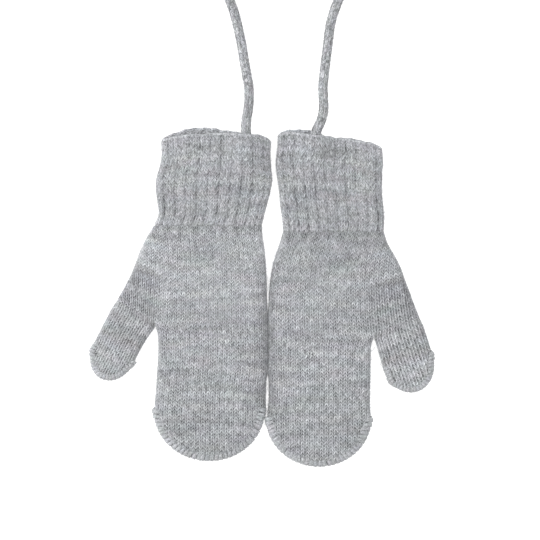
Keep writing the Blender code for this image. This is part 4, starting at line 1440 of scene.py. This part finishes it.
def overlock(m, name, tip, place, bite, pitch, ears):
    """The bars of thread round one curved end, and the zigzag thread along their inner ends."""
    grids, inner_ends = [], []
    radius = BAR_THICKNESS / 2 * BAR_SWELL
    widen = (BAR_SPREAD * BAR_WIDTH / BAR_THICKNESS)[:, None]
    slant = 0.25 * np.where(np.arange(len(BAR_PATH)) < BAR_OVER, 1.0, -1.0)
    angles = even_angles(tip, pitch)
    ear_bars = [np.argmin(np.abs(angles - degrees)) for degrees in ears]
    for i, degrees in enumerate(angles):
        degrees = degrees + chance.normal(0.0, 0.35)
        spot, out = around_tip(tip, degrees)
        sideways = np.array([-out[1], out[0]])
        from_ear = min(abs(i - bar) for bar in ear_bars)
        ear = EAR_REACH * (1.0 - ease(from_ear / 2.5))
        reach, height = BAR_PATH[:, 0] * bite * chance.normal(1.0, 0.07), BAR_PATH[:, 1]
        flat = spot + out * (ear - reach[:, None]) + sideways * (slant * reach)[:, None]
        u, v = place(m, tip.start + flat[:, 1], tip.middle + flat[:, 0])
        middles = to_world(m, u, v, height)
        inner_ends.append(middles[1] + 0.3 * UP)
        side = unit(np.cross((middles[BAR_OVER] - middles[0]) * LEVEL, UP))
        side = np.broadcast_to(side, middles.shape)
        grids.append(thread_grid(middles, side, radius, BAR_SIDES, i * 3.7, widen, BAR_STRANDS))
    ends = np.array(inner_ends)
    zigzag_line = np.repeat(ends, 2, axis=0)
    zigzag_line[1::2] = (ends + np.roll(ends, -1, axis=0)) / 2
    zigzag_line[1::2, 2] -= 0.25
    zigzag_line = zigzag_line[:-1]
    side = unit(np.cross(np.gradient(zigzag_line, axis=0), UP))
    grids.append(thread_grid(zigzag_line, side, ZIGZAG_RADIUS, 5, 500.0))
    seam = sew(f"{m.name}_{name}_overlock", grids, yarns["overlock_thread"])
    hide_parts(f"{m.name}_{name}_seam")


for m in MITTENS:
    overlock(m, "tip", m.hand_tip, on_hand, 1.0, BAR_PITCH, HAND_EARS)
    ears = THUMB_EARS[m.name]
    overlock(m, "thumb", m.thumb_tip, on_thumb, THUMB_BITE, THUMB_BAR_PITCH, ears)

# %% [markdown]
# ## Loose fibres
#
# Brushed yarn is hairy, and that is why the edges of the real pair look soft. The hairs are fine
# tubes, thinner than a tenth of a millimetre, which start in the cloth, lift off it and bend over.
# Most start near a folded edge or on the cord, where they are seen against the floor. All the
# hairs of one piece are a single grid with gaps left between them, so thousands take no time. One
# thicker end of thread has worked loose beside the right thumb.

# %% Fibres that stand off the knitting
HAIR_POINTS = 5
HAIR_TAPER = np.array([0.8, 1.0, 1.0, 0.8, 0.4])
HAIR_RADIUS = 0.045
MITTEN_HAIRS, CORD_HAIRS = 2400, 2200
LOOSE_THREAD_RADIUS = 0.16


def hair_bed(points):
    """Middles, outward directions and areas of the cells of a front layer, in long lists."""
    middles = (points[1:, 1:] + points[:-1, :-1]) / 2
    square = face_normals_of(points)[:-1, :-1]
    return middles.reshape(-1, 3), square.reshape(-1, 3), cell_areas(points).ravel()


def tubes_on(paths, radius):
    """One grid of three-sided tubes, one on each path."""
    count, steps = paths.shape[:2]
    forward = unit(np.gradient(paths, axis=1))
    side = unit(np.cross(forward, unit(chance.normal(0.0, 1.0, (count, 1, 3)))))
    above = np.cross(side, forward)
    turn = 2 * math.pi * np.arange(4) / 3
    reach = (radius * HAIR_TAPER)[None, :, None, None]
    points = (
        paths[:, :, None, :]
        + side[:, :, None, :] * reach * np.cos(turn)[:, None]
        + above[:, :, None, :] * reach * np.sin(turn)[:, None]
    ).reshape(count * steps, 4, 3)
    row = np.arange(count * steps)
    keep = np.broadcast_to((row[:-1] % steps < steps - 1)[:, None], (count * steps - 1, 3))
    stitch = np.stack(np.broadcast_arrays(row[:, None] * 0.31, np.arange(4) * 0.2), axis=-1)
    tone = np.repeat(chance.normal(1.1, 0.15, count), steps)[:-1, None]
    return make_grid(
        points, stitch, np.zeros(points.shape[:2]), np.broadcast_to(tone, keep.shape), keep
    )


def grow_hairs(beds, count, edge_share, length, lift):
    """Paths of hairs that start on the beds and bend over.

    edge_share says how much more often they start on a fold, and lift how far they stand off.
    """
    middles, square, size = (np.concatenate(parts) for parts in zip(*map(hair_bed, beds)))
    level = np.clip(square[:, 2], -1.0, 1.0)
    weight = size * np.where(level < -0.3, 0.0, 1.0 + edge_share * (1.0 - np.abs(level)) ** 2)
    chosen = chance.choice(len(middles), count, p=weight / weight.sum())
    root, out = middles[chosen], square[chosen]
    lean = unit(np.cross(out, chance.normal(0.0, 1.0, (count, 3))))
    bend = np.cross(out, lean)
    long = chance.uniform(*length, (count, 1))
    high = np.clip(chance.exponential(lift, (count, 1)), 0.1, 3.0 * lift)
    curl = chance.normal(0.0, 0.35, (count, 1))
    at = np.linspace(0.0, 1.0, HAIR_POINTS)[None, :, None]
    paths = (
        (root - 0.25 * out)[:, None, :]
        + (lean * long)[:, None, :] * at
        + (out * (high + 0.25))[:, None, :] * np.sin(math.pi * 0.7 * at)
        + (bend * long * curl)[:, None, :] * at**2
    )
    paths[..., 2] = np.maximum(paths[..., 2], 0.1)
    return paths


def add_hairs(name, grids, slot):
    """One piece of hairs, in the yarn that they stand on."""
    hairs = sew(name, grids, yarns[slot])


LOOSE_THREAD = np.array([
    # x, y, height
    (53.3, -27.6, 2.6),
    (54.3, -27.1, 3.0),
    (55.4, -26.3, 3.1),
    (56.4, -25.1, 2.8),
    (56.6, -24.4, 2.4),
])
for m in MITTENS:
    hairs = grow_hairs(hair_beds[m.name], MITTEN_HAIRS, 14.0, (1.4, 4.5), 0.6)
    grids = [tubes_on(hairs, HAIR_RADIUS)]
    if m is RIGHT:
        grids.append(tubes_on(LOOSE_THREAD[None], LOOSE_THREAD_RADIUS))
    add_hairs(f"{m.name}_fuzz", grids, "plain_knit")
hairs = grow_hairs(hair_beds["cord"], CORD_HAIRS, 1.0, (1.2, 3.5), 0.5)
add_hairs("cord_fuzz", [tubes_on(hairs, HAIR_RADIUS)], "cord_knit")

# %% [markdown]
# ## Floor, light and colour
#
# The pair lies on a plain white floor, which gives a little light of its own so that it stays
# white. Two wide lamps stand low, a strong one at the left and a weak one at the right, so each
# stitch gets a light and a dark side. A lamp high above and the bright sky fill the rest.

# %% Floor and lights
floor_mesh = bpy.data.meshes.new("floor")
floor_mesh.from_pydata([(-2, -2, 0), (2, -2, 0), (2, 2, 0), (-2, 2, 0)], [], [(0, 1, 2, 3)])
floor = bpy.data.objects.new("floor", floor_mesh)
floor.location.z = -0.0002
bpy.context.scene.collection.objects.link(floor)
paper = bpy.data.materials.new("white_paper")
paper.use_nodes = True
paper_inputs = paper.node_tree.nodes["Principled BSDF"].inputs
paper_inputs["Base Color"].default_value = (0.70, 0.70, 0.70, 1.0)
paper_inputs["Roughness"].default_value = 0.9
paper_inputs["Emission Color"].default_value = (1.0, 1.0, 1.0, 1.0)
paper_inputs["Emission Strength"].default_value = 0.40
floor_mesh.materials.append(paper)

world = bpy.data.worlds.new("studio")
world.use_nodes = True
sky_inputs = world.node_tree.nodes["Background"].inputs
sky_inputs["Color"].default_value = (1.0, 1.0, 1.0, 1.0)
sky_inputs["Strength"].default_value = 0.65
bpy.context.scene.world = world


def add_lamp(name, position, size, power):
    """A square lamp that faces the middle of the pair."""
    data = bpy.data.lights.new(name, "AREA")
    data.size = size
    data.energy = power
    lamp = bpy.data.objects.new(name, data)
    lamp.location = position
    aim = Vector((0.0, 0.0, 0.0)) - Vector(position)
    lamp.rotation_euler = aim.to_track_quat("-Z", "Y").to_euler()
    bpy.context.scene.collection.objects.link(lamp)


add_lamp("left_lamp", (-1.2, 0.25, 0.60), 0.6, 16.0)
add_lamp("right_lamp", (1.2, 0.35, 0.65), 0.6, 3.0)
add_lamp("top_lamp", (0.0, 0.0, 2.2), 0.9, 40.0)
bpy.context.scene.view_settings.view_transform = "Standard"
print("lamps:", len(bpy.data.lights))
